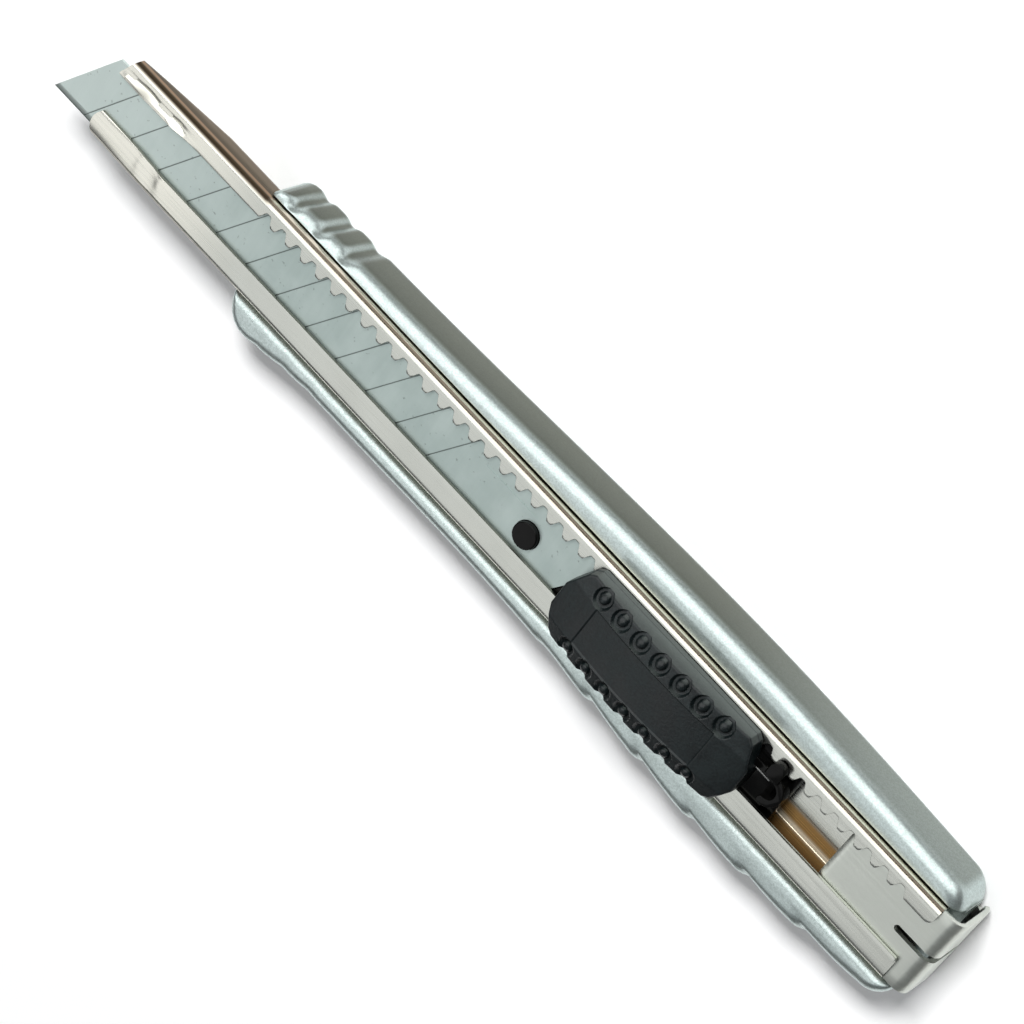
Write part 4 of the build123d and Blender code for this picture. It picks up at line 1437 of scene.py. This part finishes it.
@dataclass
class Guide:
    """Folded blade guide: rails, rack, ramped and crimped nose."""

    length: float = 129.5
    half: float = 5.7
    height: float = 4.0
    sheet: float = 0.5
    bend: float = 0.86
    bend_points: int = 8
    flat_points: int = 6
    ramp: float = 14.0
    nose_height: float = 2.1
    nose_corner: float = 1.0
    nose_crest: float = 3.7
    nose_length: float = 5.0
    nose_fade: float = 1.5
    crest_start: float = 1.5
    crest_power: float = 2.2
    crest_low: float = -2.2
    crest_high: float = -1.2
    lip: float = 0.3
    lip_length: float = 12.0
    rack_y: float = -3.4
    plain_y: float = 2.4
    pitch: float = 2.51
    notch_depth: float = 1.12
    mouth: float = 2.04
    notch_floor: float = 0.5
    notches: int = 41
    first_notch: float = -24.3
    rack_end_round: float = 0.9
    plain_end_round: float = 0.45
    edge_round: float = 0.1
    bead_y: float = 2.85
    bead_half: float = 0.45
    bead_height: float = 0.095
    bead_start: float = -18.0
    bead_runout: float = 2.0
    bead_points: int = 7
    rail_low: float = -1.2
    rail_high: float = -0.5
    crimp_rear: float = -13.0
    crimp_full: float = -9.5
    crimp_front: float = -1.2
    crimp_front_loss: float = 0.4
    ridge_y: float = -3.4
    ridge_spread: float = 0.36
    ridge_height: float = 0.22
    ridge_marks: tuple[PressMark, ...] = (PressMark(-3.6, 1.6, 0.14), PressMark(-8.8, 1.4, 0.14))
    valley_y: float = -4.15
    valley_spread: float = 0.3
    valley_height: float = -0.1
    valley_marks: tuple[PressMark, ...] = (PressMark(-4.2, 1.2, -0.12), PressMark(-9.4, 1.0, -0.1))
    dent_y: float = 3.2
    dent_spread: float = 1.1
    dent_marks: tuple[PressMark, ...] = (
        PressMark(-9.6, 0.9, -0.1), PressMark(-11.4, 0.7, 0.14), PressMark(-8.0, 0.6, 0.1),
    )
    roll_drop: float = 0.22
    roll_half: float = 1.7
    roll_reach: float = 2.1
    roll_rear: float = -9.0
    roll_front: float = -1.0
    nose_stretch: float = 2.0
    nose_points: int = 22
    tail_points: int = 12
    step: float = 0.16

    def lip_share(self, x: float) -> float:
        """Share of the rails' lips at x, full over the front half of their length."""
        return float(smooth(-self.lip_length, -self.lip_length / 2, x))

    def rack_edge(self, x: float) -> float:
        """Edge of the toothed rail at x.

        Args:
            x: Place along the guide.

        Returns:
            The edge's place across the guide.
        """
        y = self.rack_y + self.lip * self.lip_share(x)
        count = round((self.first_notch - x) / self.pitch)
        if 0 <= count < self.notches:
            away = abs(x - (self.first_notch - count * self.pitch))
            y -= self.notch_depth * float(1 - smooth(self.notch_floor / 2, self.mouth / 2, away))
        return y - float(quarter_drop(np.array(x + self.length), self.rack_end_round))

    def plain_edge(self, x: float) -> float:
        """Edge of the plain rail at x."""
        y = self.plain_y - self.lip * self.lip_share(x)
        return y + float(quarter_drop(np.array(x + self.length), self.plain_end_round))

    def bead(self, x: float) -> list[Pair]:
        """Points over the pressed bead in the floor at x, as y and lift.

        Args:
            x: Place along the guide.

        Returns:
            Points as y, lift pairs.
        """
        rise = 1 - smooth(self.bead_start - self.bead_runout, self.bead_start, x)
        height = self.bead_height * float(rise)
        shares = np.linspace(-1, 1, self.bead_points)
        lifts = [height * (0.5 + 0.5 * math.cos(math.pi * share)) for share in shares]
        return [(self.bead_y + self.bead_half * share, lift) for share, lift in zip(shares, lifts)]

    def wrap(
        self, inset: float, height: float, right: float, left: float, bead: Sequence[Pair] = ()
    ) -> list[Pair]:
        """One face of the sheet, from the toothed rail's edge round to the plain rail's edge.

        Args:
            inset: Distance of this face inside the outer face.
            height: Height of the guide here.
            right: Edge of the toothed rail.
            left: Edge of the plain rail.
            bead: Points over the floor's bead, as y and lift.

        Returns:
            Points as y, z pairs.
        """
        radius, corner, run = self.bend - inset, self.bend_points, self.flat_points
        side, high, low = self.half - self.bend, -self.bend, self.bend - height
        points = [(y, -inset) for y in np.linspace(right, -side, run)[:-1]]
        points += arc((-side, high), radius, 90, 180, corner) + arc((-side, low), radius, 180, 270, corner)
        flat = [(y, 0.0) for y in np.linspace(-side, side, run)[1:-1]]
        points += [(y, inset - height + lift) for y, lift in sorted(flat + list(bead))]
        points += arc((side, low), radius, 270, 360, corner) + arc((side, high), radius, 0, 90, corner)
        return points + [(y, -inset) for y in np.linspace(side, left, run)[1:]]

    def section(self, x: float) -> np.ndarray:
        """Closed loop of one section.

        Args:
            x: Place along the guide.

        Returns:
            Points of the loop in millimetres.
        """
        height = self.height - (self.height - self.nose_height) * max(0.0, 1 + x / self.ramp)
        right, left, soft = self.rack_edge(x), self.plain_edge(x), self.edge_round
        corner = CORNER_SHARE * soft
        outer = self.wrap(0.0, height, right - soft, left + soft)
        inner = self.wrap(self.sheet, height, right - soft, left + soft, self.bead(x))
        left_lip = [(left + corner, -corner), (left, -soft), (left, soft - self.sheet)]
        right_lip = [(right, soft - self.sheet), (right, -soft), (right - corner, -corner)]
        loop = np.array(outer + left_lip + inner[::-1] + right_lip)
        y, z = loop[:, 0], loop[:, 1]
        share = max(0.0, 1 + x / self.nose_length) ** self.nose_fade
        return np.stack([x + self.nose_front(y, z) * share, y, z + self.crimp(x, y, z)], 1)

    def nose_front(self, y: np.ndarray, z: np.ndarray) -> np.ndarray:
        """How far the front edge reaches past the nose's plane: cut back at both outer corners.

        Args:
            y: Places across the guide.
            z: Levels of the points.

        Returns:
            The reach of each point, below zero where it stays back.
        """
        slant = (y - self.rack_y) / (self.half + self.rack_y) * self.nose_corner
        front = np.where(y < self.rack_y, slant, 0.0)
        away = (y - self.nose_crest) / (self.half - self.nose_crest)
        curve = np.where(y > self.crest_start, self.nose_corner * np.abs(away) ** self.crest_power, 0.0)
        return front - curve * smooth(self.crest_low, self.crest_high, z)

    def crimp(self, x: float, y: np.ndarray, z: np.ndarray) -> np.ndarray:
        """Lift of the rails where the nose was pressed.

        Args:
            x: Place along the guide.
            y: Places across it.
            z: Levels of the points.

        Returns:
            Lift of each point.
        """
        run = smooth(self.crimp_rear, self.crimp_full, x)
        run = run * (1 - self.crimp_front_loss * smooth(self.crimp_front, 0.0, x))
        lumps = pressed(self.ridge_height, self.ridge_marks, x)
        ridge = bell(y, self.ridge_y, self.ridge_spread) * lumps * run
        hollows = pressed(self.valley_height, self.valley_marks, x)
        valley = bell(y, self.valley_y, self.valley_spread) * hollows * run
        dent = bell(y, self.dent_y, self.dent_spread) * pressed(0.0, self.dent_marks, x)
        aside = np.abs(y - self.nose_crest)
        roll = -self.roll_drop * (aside / self.roll_half) ** 2 * smooth(self.roll_rear, self.roll_front, x)
        roll = roll * (aside < self.roll_reach) * (y > self.crest_start)
        return smooth(self.rail_low, self.rail_high, z) * (ridge + valley + dent + roll)

    def build(self) -> bpy.types.Object:
        """Skin the sections.

        Returns:
            The new piece at the origin.
        """
        nose, tail = self.nose_stretch, self.rack_end_round
        front = np.linspace(0, -nose, self.nose_points)
        middle = np.arange(-nose - self.step, -self.length + tail, -self.step)
        rear = -self.length + tail * (1 - np.sin(np.radians(np.linspace(0, 90, self.tail_points))))
        places = np.concatenate([front, middle, rear])
        return MeshShop.loft("blade_guide", np.stack([self.section(x) for x in places]))

    def dress(self, finishes: Finishes) -> None:
        """Build the guide and give it its steel."""
        fit_out(self.build(), finishes.guide, Body.HANDLE, "blade_channel")


@dataclass
class Rivets:
    """Rivets that hold the guide in the grip: countersunk heads and domed tails."""

    places: Pair = RIVET_PLACES
    head_level: float = -3.52
    head_radius: float = 1.68
    head_depth: float = 0.5
    head_edge: float = 0.04
    head_chamfer: float = 0.06
    tail_level: float = -7.96
    tail_radius: float = 1.58
    tail_depth: float = 0.7
    tail_edge: float = 0.42
    tail_dome: tuple[Pair, ...] = ((0.0, 0.0), (0.7, 0.02), (1.25, 0.1), (1.5, 0.24))
    shank_radius: float = 1.0
    turns: int = 36

    def shape(self) -> bpy.types.Object:
        """Turn one rivet, standing on the origin of its own axis.

        Returns:
            The rivet, which the row then repeats.
        """
        low, high = self.tail_level, self.head_level
        profile = [(radius, low + rise) for radius, rise in self.tail_dome] + [
            (self.tail_radius, low + self.tail_edge),
            (self.tail_radius, low + self.tail_depth),
            (self.shank_radius, low + self.tail_depth),
            (self.shank_radius, high - self.head_depth),
            (self.head_radius, high - self.head_edge),
            (self.head_radius - self.head_chamfer, high),
            (0.0, high),
        ]
        work = bmesh.new()
        ring = [work.verts.new((radius * MM, 0.0, level * MM)) for radius, level in profile]
        edges = [work.edges.new(pair) for pair in zip(ring, ring[1:])]
        bmesh.ops.spin(
            work, geom=ring + edges, axis=(0, 0, 1), cent=(0, 0, 0),
            steps=self.turns, angle=2 * math.pi, use_merge=True,
        )
        bmesh.ops.remove_doubles(work, verts=work.verts, dist=MeshShop.TURNED_WELD)
        bmesh.ops.recalc_face_normals(work, faces=work.faces)
        shape = MeshShop.from_work("rivet_shape", work)
        MeshShop.smooth_shade(shape.data)
        return shape

    @staticmethod
    def tree(finish: bpy.types.Material) -> bpy.types.GeometryNodeTree:
        """Node tree that sets rivets in a row.

        Args:
            finish: Steel of the rivets.

        Returns:
            The tree, with the rivet, the start, the pitch and the count as inputs.
        """
        tree = bpy.data.node_groups.new("rivet_row", "GeometryNodeTree")
        for name, kind in (("Rivet", "Object"), ("Start", "Vector"), ("Pitch", "Vector"), ("Count", "Int")):
            tree.interface.new_socket(name, in_out="INPUT", socket_type="NodeSocket" + kind)
        tree.interface.new_socket("Geometry", in_out="OUTPUT", socket_type="NodeSocketGeometry")
        start = tree.nodes.new("NodeGroupInput")
        line = tree.nodes.new("GeometryNodeMeshLine")
        line.mode = "OFFSET"
        info = tree.nodes.new("GeometryNodeObjectInfo")
        put = tree.nodes.new("GeometryNodeInstanceOnPoints")
        real = tree.nodes.new("GeometryNodeRealizeInstances")
        coat = tree.nodes.new("GeometryNodeSetMaterial")
        coat.inputs["Material"].default_value = finish
        end = tree.nodes.new("NodeGroupOutput")
        for source, target in (
            (start.outputs["Rivet"], info.inputs["Object"]),
            (start.outputs["Start"], line.inputs["Start Location"]),
            (start.outputs["Pitch"], line.inputs["Offset"]),
            (start.outputs["Count"], line.inputs["Count"]),
            (line.outputs["Mesh"], put.inputs["Points"]),
            (info.outputs["Geometry"], put.inputs["Instance"]),
            (put.outputs["Instances"], real.inputs["Geometry"]),
            (real.outputs["Geometry"], coat.inputs["Geometry"]),
            (coat.outputs["Geometry"], end.inputs["Geometry"]),
        ):
            tree.links.new(source, target)
        return tree

    def build(self, finish: bpy.types.Material) -> bpy.types.Object:
        """Set one rivet on every place with a node tree.

        Args:
            finish: Steel of the rivets.

        Returns:
            The rivets as one mesh.
        """
        shape = self.shape()
        piece = MeshShop.link("guide_rivets", bpy.data.meshes.new("guide_rivets"))
        row = piece.modifiers.new("row", "NODES")
        row.node_group = self.tree(finish)
        first, second = self.places
        values = {
            "Rivet": shape,
            "Start": DATUM.point(first, 0, 0),
            "Pitch": ((second - first) * MM, 0, 0),
            "Count": len(self.places),
        }
        for item in row.node_group.interface.items_tree:
            if item.in_out == "INPUT":
                row[item.identifier] = values[item.name]
        MeshShop.settle(piece)
        bpy.data.objects.remove(shape)
        return piece

    def dress(self, finishes: Finishes) -> None:
        """Build the rivets and give them their steel."""
        fit_out(self.build(finishes.rivet), finishes.rivet, Body.HANDLE, "channel_rivets")


@dataclass
class ThumbPad:
    """Black thumb pad: crowned top, sloped shoulders with ring dimples, sunk bare panel, skirt."""

    middle: float = -91.05
    length: float = 28.1
    width: float = 9.94
    skirt: float = 0.08
    skirt_top: float = 0.85
    bottom: float = 0.1
    foot_round: float = 0.06
    ledge_drop: float = 0.1
    ledge_inset: float = 0.05
    ledge_rise: float = 0.04
    end_height: float = 2.4
    crown: float = 1.6
    tip_width: float = 3.2
    tip_cut: float = 1.4
    corner_cut: float = 0.8
    corner_width: float = 9.0
    shoulder: float = 2.2
    shoulder_drop: float = 0.8
    dimples: int = 7
    dimple_pitch: float = 3.12
    dimple_lead: float = 0.23
    dimple_radius: float = 1.2
    dimple_depth: float = 0.5
    dimple_inner_ease: float = 0.22
    dimple_outer_ease: float = 0.06
    bead_radius: float = 0.66
    panel_length: float = 18.2
    panel_width: float = 5.3
    panel_depth: float = 0.16
    panel_ease: float = 0.11
    edge_round: float = 0.24
    edge_inset: float = 0.08
    side_shares: tuple[float, ...] = (0.3, 0.6, 0.85)
    edge_points: int = 6
    edge_share: float = 0.05
    across_points: int = 103
    end_stretch: float = 0.4
    step: float = 0.09

    def outline(self, spare: float) -> np.ndarray:
        """Closed plan outline, grown by spare on its long sides.

        Args:
            spare: Growth of each long side.

        Returns:
            Corners of the outline, the first one again at its end.
        """
        tip = self.length / 2
        knee = tip - self.tip_cut
        quarter = [
            (tip, self.tip_width / 2),
            (knee, self.corner_width / 2 - self.skirt + spare),
            (knee - self.corner_cut, self.width / 2 + spare),
        ]
        front = quarter + [(-x, y) for x, y in reversed(quarter)]
        ring = front + [(-x, -y) for x, y in front]
        return np.array(ring + ring[:1])

    def half_width(self, along: float, spare: float) -> float:
        """Half width of the outline at a place along the pad."""
        front = self.outline(spare)[:3][::-1]
        return float(np.interp(abs(along), front[:, 0], front[:, 1]))

    def top(self, along: np.ndarray, y: np.ndarray) -> np.ndarray:
        """Level of the pad's top.

        Args:
            along: Places along the pad from its middle.
            y: Places across it.

        Returns:
            The level of each place.
        """
        share = 2 * along / self.length
        level = self.bottom + self.end_height + self.crown * (1 - share * share)
        slope = np.maximum(np.abs(y) - (self.width / 2 - self.shoulder), 0.0)
        level = level - self.shoulder_drop * slope / self.shoulder
        panel_x = np.abs(along - self.dimple_lead) - self.panel_length / 2
        panel_y = np.abs(y) - self.panel_width / 2
        panel = smooth(self.panel_ease, -self.panel_ease, np.maximum(panel_x, panel_y))
        return level - self.panel_depth * panel + self.dimple(along, y)

    def dimple(self, along: np.ndarray, y: np.ndarray) -> np.ndarray:
        """Lift of the ring dimples on the shoulders, each with a bead in its middle.

        Args:
            along: Places along the pad from its middle.
            y: Places across it.

        Returns:
            The lift of each place, below zero in a ring.
        """
        centre = self.width / 2 - self.shoulder / 2
        near = (along - self.dimple_lead) / self.dimple_pitch
        count = np.clip(np.round(near), -(self.dimples // 2), self.dimples // 2)
        away = np.hypot((near - count) * self.dimple_pitch, np.abs(y) - centre)
        start, end = self.dimple_radius - self.dimple_inner_ease, self.dimple_radius + self.dimple_outer_ease
        floor = -self.dimple_depth * (1 - smooth(start, end, away))
        bead = np.sqrt(np.maximum(self.bead_radius**2 - away**2, 0.0)) - self.dimple_depth
        return np.where(away < self.bead_radius, np.maximum(bead, floor), floor)

    def section(self, along: float, outline: np.ndarray) -> np.ndarray:
        """Closed loop of one section.

        Args:
            along: Place along the pad from its middle.
            outline: Plan outline of the top.

        Returns:
            Points of the loop in millimetres.
        """
        upper, lower = self.half_width(along, 0.0), self.half_width(along, self.skirt)
        flat = 1 - self.edge_share
        crowded = -1 + self.edge_share * np.linspace(0, 1, self.edge_points + 1)[:-1] ** 2
        shares = np.concatenate([crowded, np.linspace(-flat, flat, self.across_points)])
        y = (upper - self.edge_inset) * shares
        y = np.concatenate([y, -y[: self.edge_points][::-1]])
        places = np.full(len(y), along)
        inset = line_distance(np.stack([places, y], 1), outline)
        z = self.top(places, y) - quarter_drop(inset, self.edge_round)
        ledge, foot = self.skirt_top, self.bottom
        right = [
            (-lower + self.foot_round, foot),
            (-lower, foot + self.foot_round),
            (-lower, ledge - self.ledge_drop),
            (-lower + self.ledge_inset, ledge),
            (-upper, ledge + self.ledge_rise),
        ]
        left = [(-a, b) for a, b in reversed(right)]
        lean, climb = self.edge_inset, self.side_shares
        rise_right = [(-upper + lean * share, ledge + (z[0] - ledge) * share) for share in climb]
        rise_left = [(upper - lean * share, ledge + (z[-1] - ledge) * share) for share in climb[::-1]]
        loop = np.array(right + rise_right + list(zip(y, z)) + rise_left + left)
        return np.column_stack([np.full(len(loop), self.middle + along), loop])

    def build(self) -> bpy.types.Object:
        """Skin the sections.

        Returns:
            The new piece at the origin.
        """
        tip, stretch = self.length / 2, self.end_stretch
        ends = tip - stretch * np.linspace(0, 1, self.edge_points + 1)[:-1] ** 2
        places = np.concatenate([ends, np.arange(tip - stretch, -tip + stretch, -self.step), -ends[::-1]])
        outline = self.outline(-self.edge_inset)
        return MeshShop.loft("thumb_slider", np.stack([self.section(place, outline) for place in places]))

    def dress(self, finishes: Finishes) -> None:
        """Build the pad and give it its moulding."""
        fit_out(self.build(), finishes.pad, Body.CARRIAGE, "thumb_pad")


@dataclass
class Carriage:
    """Carrier, lock arm and leaf spring under the pad, and the blade."""

    carrier_round: float = 0.14
    arm_round: float = 0.16
    arm_steps: int = 3
    leaf_round: float = 0.04

    def dress(self, finishes: Finishes) -> None:
        """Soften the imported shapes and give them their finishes.

        Args:
            finishes: Finishes of the knife.
        """
        carrier = MeshShop.softened("blade_bed", "blade_carrier", self.carrier_round)
        fit_out(carrier, finishes.carrier, Body.CARRIAGE, "blade_carrier")
        arm = MeshShop.softened("lock_tongue", "lock_arm", self.arm_round, self.arm_steps)
        fit_out(arm, finishes.carrier, Body.ARM, "lock_arm")
        leaf = MeshShop.softened("leaf_spring", "lock_spring", self.leaf_round)
        fit_out(leaf, finishes.leaf, Body.ARM, "lock_spring")
        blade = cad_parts["blade"]
        blade.data.materials.clear()
        blade.data.materials.append(finishes.blade)
        LOG.info("blade: %d faces on carriage", len(blade.data.polygons))


@dataclass
class EndClip:
    """Bent sheet clip at the rear: tongue, rear wall, leg on the back and snapping slot."""

    sheet: float = 0.6
    tongue_front: float = -117.3
    tongue_level: float = -0.86
    tongue_half: float = 5.05
    tongue_corner: float = 1.1
    tongue_lead: float = 2.0
    tongue_points: int = 12
    lip_length: float = 0.55
    lip_drop: float = 0.22
    lip_run: float = 1.0
    lip_points: int = 9
    lip_crowding: float = 1.3
    shoulder: float = -129.56
    shoulder_gap: float = 0.01
    wall_place: float = -132.1
    wall_half: float = 5.7
    wall_points: int = 8
    bend: float = 1.3
    bend_points: int = 14
    leg_level: float = -7.6
    leg_front: float = -91.0
    leg_half: float = 4.7
    leg_rear: float = -131.74
    leg_lead: float = 0.5
    leg_points: int = 20
    leg_round: float = 3.0
    leg_round_turn: float = 88.0
    leg_round_points: int = 16
    edge_round: float = 0.12
    across_points: int = 9
    slot_front: float = -126.8
    slot_half: float = 0.42
    slot_low: float = -6.0
    slot_high: float = 1.0
    slot_points: int = 13
    slot_spare: float = 2.0

    def path(self) -> list[tuple[float, float, float, float]]:
        """Stations along the strip as x, z, tilt and half width.

        Returns:
            The stations, from the tongue's lip to the leg's end.
        """
        knee = self.wall_place + self.bend
        turn = np.radians(np.linspace(0, 90, self.bend_points))
        return self.tongue_path(knee) + self.wall_path(knee, turn) + self.leg_path(knee, turn)

    def tongue_path(self, knee: float) -> list[tuple[float, float, float, float]]:
        """Stations of the tongue, from its dropped lip to the shoulder.

        Args:
            knee: Place where the tongue starts to bend down.

        Returns:
            Stations as x, z, tilt and half width.
        """
        front, level = self.tongue_front, self.tongue_level
        rows: list[tuple[float, float, float, float]] = []
        for step in np.linspace(0, 1, self.lip_points) ** self.lip_crowding:
            away = step * (self.lip_length + self.lip_run)
            rest = max(0.0, 1 - away / self.lip_length)
            tilt = math.atan(2 * self.lip_drop * rest / self.lip_length)
            half = self.tongue_half - max(0.0, self.tongue_corner - away)
            rows.append((front - away, level - self.lip_drop * rest**2, tilt, half))
        places = np.linspace(front - self.tongue_lead, self.shoulder + self.shoulder_gap, self.tongue_points)
        rows += [(x, level, 0.0, self.tongue_half) for x in places]
        return rows + [(x, level, 0.0, self.wall_half) for x in (self.shoulder, (self.shoulder + knee) / 2)]

    def wall_path(self, knee: float, turn: np.ndarray) -> list[tuple[float, float, float, float]]:
        """Stations of the upper bend and the rear wall.

        Args:
            knee: Place where the tongue starts to bend down.
            turn: Angles of the bend's stations.

        Returns:
            Stations as x, z, tilt and half width.
        """
        level, bend, half = self.tongue_level, self.bend, self.wall_half
        rows = [(knee - bend * math.sin(a), level - bend * (1 - math.cos(a)), -a, half) for a in turn]
        heights = np.linspace(level - bend, self.leg_level + bend, self.wall_points)[1:-1]
        return rows + [(self.wall_place, z, -math.pi / 2, half) for z in heights]

    def leg_path(self, knee: float, turn: np.ndarray) -> list[tuple[float, float, float, float]]:
        """Stations of the lower bend and the leg, up to its round end.

        Args:
            knee: Place where the leg comes out of its bend.
            turn: Angles of the bend's stations.

        Returns:
            Stations as x, z, tilt and half width.
        """
        low, rows = self.leg_level, []
        for a in turn:
            x = knee - self.bend * math.cos(a)
            half = self.wall_half if x < self.leg_rear else self.leg_half
            rows.append((x, low + self.bend * (1 - math.sin(a)), -math.pi / 2 - a, half))
        places = np.linspace(knee + self.leg_lead, self.leg_front - self.leg_round, self.leg_points)
        rows += [(x, low, -math.pi, self.leg_half) for x in places]
        for a in np.radians(np.linspace(0, self.leg_round_turn, self.leg_round_points)):
            x = self.leg_front - self.leg_round * (1 - math.sin(a))
            rows.append((x, low, -math.pi, self.leg_half - self.leg_round * (1 - math.cos(a))))
        return rows

    def section(self, x: float, z: float, tilt: float, half: float) -> np.ndarray:
        """Closed loop of one section.

        Args:
            x: Place of the strip's middle.
            z: Level of the strip's middle.
            tilt: Turn of the strip's face about y, from facing up.
            half: Half width of the strip.

        Returns:
            Points of the loop in millimetres.
        """
        thick, soft = self.sheet / 2, self.edge_round
        corner = CORNER_SHARE * soft
        side = [(soft - half, thick), (corner - half, thick - corner), (-half, thick - soft)]
        side += [(-half, soft - thick), (corner - half, corner - thick), (soft - half, -thick)]
        across = np.linspace(-half, half, self.across_points)[1:-1]
        loop = side + [(y, -thick) for y in across]
        loop += [(-y, -t) for y, t in side] + [(-y, thick) for y in across]
        return np.array([(x + t * math.sin(tilt), y, z + t * math.cos(tilt)) for y, t in loop])

    def slot(self) -> bpy.types.Object:
        """Shape of the slot: round at its front and open to the rear.

        Returns:
            The shape to cut away.
        """
        half, rear = self.slot_half, self.wall_place - self.slot_spare
        angles = np.linspace(-math.pi / 2, math.pi / 2, self.slot_points)
        ends = [(self.slot_front - half * (1 - math.cos(a)), half * math.sin(a)) for a in angles]
        ring = np.array(ends + [(rear, half), (rear, -half)])
        levels = [np.column_stack([ring, np.full(len(ring), z)]) for z in (self.slot_low, self.slot_high)]
        return MeshShop.loft("slot", np.stack(levels))

    def build(self) -> bpy.types.Object:
        """Bend the strip and cut its slot.

        Returns:
            The new piece at the origin.
        """
        piece = MeshShop.loft("rear_clip", np.stack([self.section(*row) for row in self.path()]))
        MeshShop.cut(piece, self.slot())
        return piece

    def dress(self, finishes: Finishes) -> None:
        """Build the clip and give it its steel."""
        fit_out(self.build(), finishes.clip, Body.CLIP, "end_clip")


@dataclass(frozen=True)
class Softbox:
    """Flat studio lamp that faces the knife."""

    name: str
    direction: tuple[float, float, float]
    distance: float
    size: tuple[float, float]
    radiance: float
    shades: bool = True
    shines: bool = True

    def hang(self) -> None:
        """Place the lamp so that it faces the knife."""
        lamp = bpy.data.lights.new(self.name, "AREA")
        lamp.shape = "RECTANGLE"
        lamp.size, lamp.size_y = self.size
        lamp.energy = self.radiance * math.pi * self.size[0] * self.size[1]
        holder = MeshShop.link(self.name, lamp)
        holder.location = Vector(self.direction).normalized() * self.distance
        holder.rotation_euler = (-holder.location).to_track_quat("-Z", "Y").to_euler()
        holder.visible_diffuse, holder.visible_glossy = self.shades, self.shines


@dataclass(frozen=True)
class Studio:
    """Pale floor, soft light and the camera of the photograph."""

    camera_place: tuple[float, float, float] = (-0.10447, -0.23736, 0.35218)
    camera_aim: tuple[float, float, float] = (-0.003813, -0.002135, 0.008)
    camera_roll: float = 114.367
    lens: float = 140.625
    sensor: float = 36.0
    near_end: float = 0.01
    floor_size: float = 4.0
    floor_level: float = -0.00004
    bright_side: tuple[float, float, float] = (0.0, 0.15, 0.99)
    sky_low: Colour = (0.07, 0.067, 0.06, 1.0)
    sky_high: Colour = (0.24, 0.25, 0.26, 1.0)
    lamps: tuple[Softbox, ...] = (
        Softbox("key_box", (0.22, -0.64, 0.74), 0.95, (2.0, 0.93), 1.9, shades=False),
        Softbox("shade_box", (0.1, -0.7, 0.7), 1.6, (0.7, 0.36), 37.0, shines=False),
        Softbox("top_box", (0.24, 0.34, 0.91), 0.9, (0.66, 0.95), 0.88),
    )

    def camera(self) -> None:
        """Set the camera at the photograph's viewing angle."""
        data = bpy.data.cameras.new("photo_camera")
        data.lens, data.sensor_width = self.lens, self.sensor
        data.clip_start = self.near_end
        holder = MeshShop.link("photo_camera", data)
        look = (Vector(self.camera_aim) - Vector(self.camera_place)).to_track_quat("-Z", "Y").to_matrix()
        roll = Matrix.Rotation(-math.radians(self.camera_roll), 3, "Z")
        holder.matrix_world = Matrix.Translation(self.camera_place) @ (look @ roll).to_4x4()
        bpy.context.scene.camera = holder

    def floor(self) -> None:
        """Lay a pale floor that keeps the shadow and looks white."""
        half, level = self.floor_size / 2, self.floor_level
        mesh = bpy.data.meshes.new("floor")
        corners = [(-half, -half, level), (half, -half, level), (half, half, level), (-half, half, level)]
        mesh.from_pydata(corners, [], [(0, 1, 2, 3)])
        plate = MeshShop.link("floor", mesh)
        mesh.materials.append(FloorPaint().make())

    def sky(self) -> None:
        """Light the room softly from all round, a little more from above."""
        world = bpy.data.worlds.new("studio")
        bpy.context.scene.world = world
        world.use_nodes = True
        tree = world.node_tree
        place = tree.nodes.new("ShaderNodeTexCoord")
        lean = tree.nodes.new("ShaderNodeVectorMath")
        lean.operation = "DOT_PRODUCT"
        lean.inputs[1].default_value = self.bright_side
        ramp = tree.nodes.new("ShaderNodeValToRGB")
        for element, colour in zip(ramp.color_ramp.elements, (self.sky_low, self.sky_high)):
            element.color = colour
        tree.links.new(place.outputs["Generated"], lean.inputs[0])
        tree.links.new(lean.outputs["Value"], ramp.inputs[0])
        tree.links.new(ramp.outputs[0], tree.nodes["Background"].inputs["Color"])

    def set_up(self) -> None:
        """Put up floor, sky, lamps and camera."""
        self.floor()
        self.sky()
        for lamp in self.lamps:
            lamp.hang()
        self.camera()
        bpy.context.scene.view_settings.view_transform = "Standard"


def main() -> None:
    """Build every sub-assembly, dress it and set up the studio."""
    logging.basicConfig(level=logging.INFO, format="%(name)s: %(message)s")
    finishes = Finishes.make()
    for part in (Grip(), Guide(), Rivets(), ThumbPad(), Carriage(), EndClip()):
        part.dress(finishes)
    Studio().set_up()


if __name__ == "__main__":
    main()
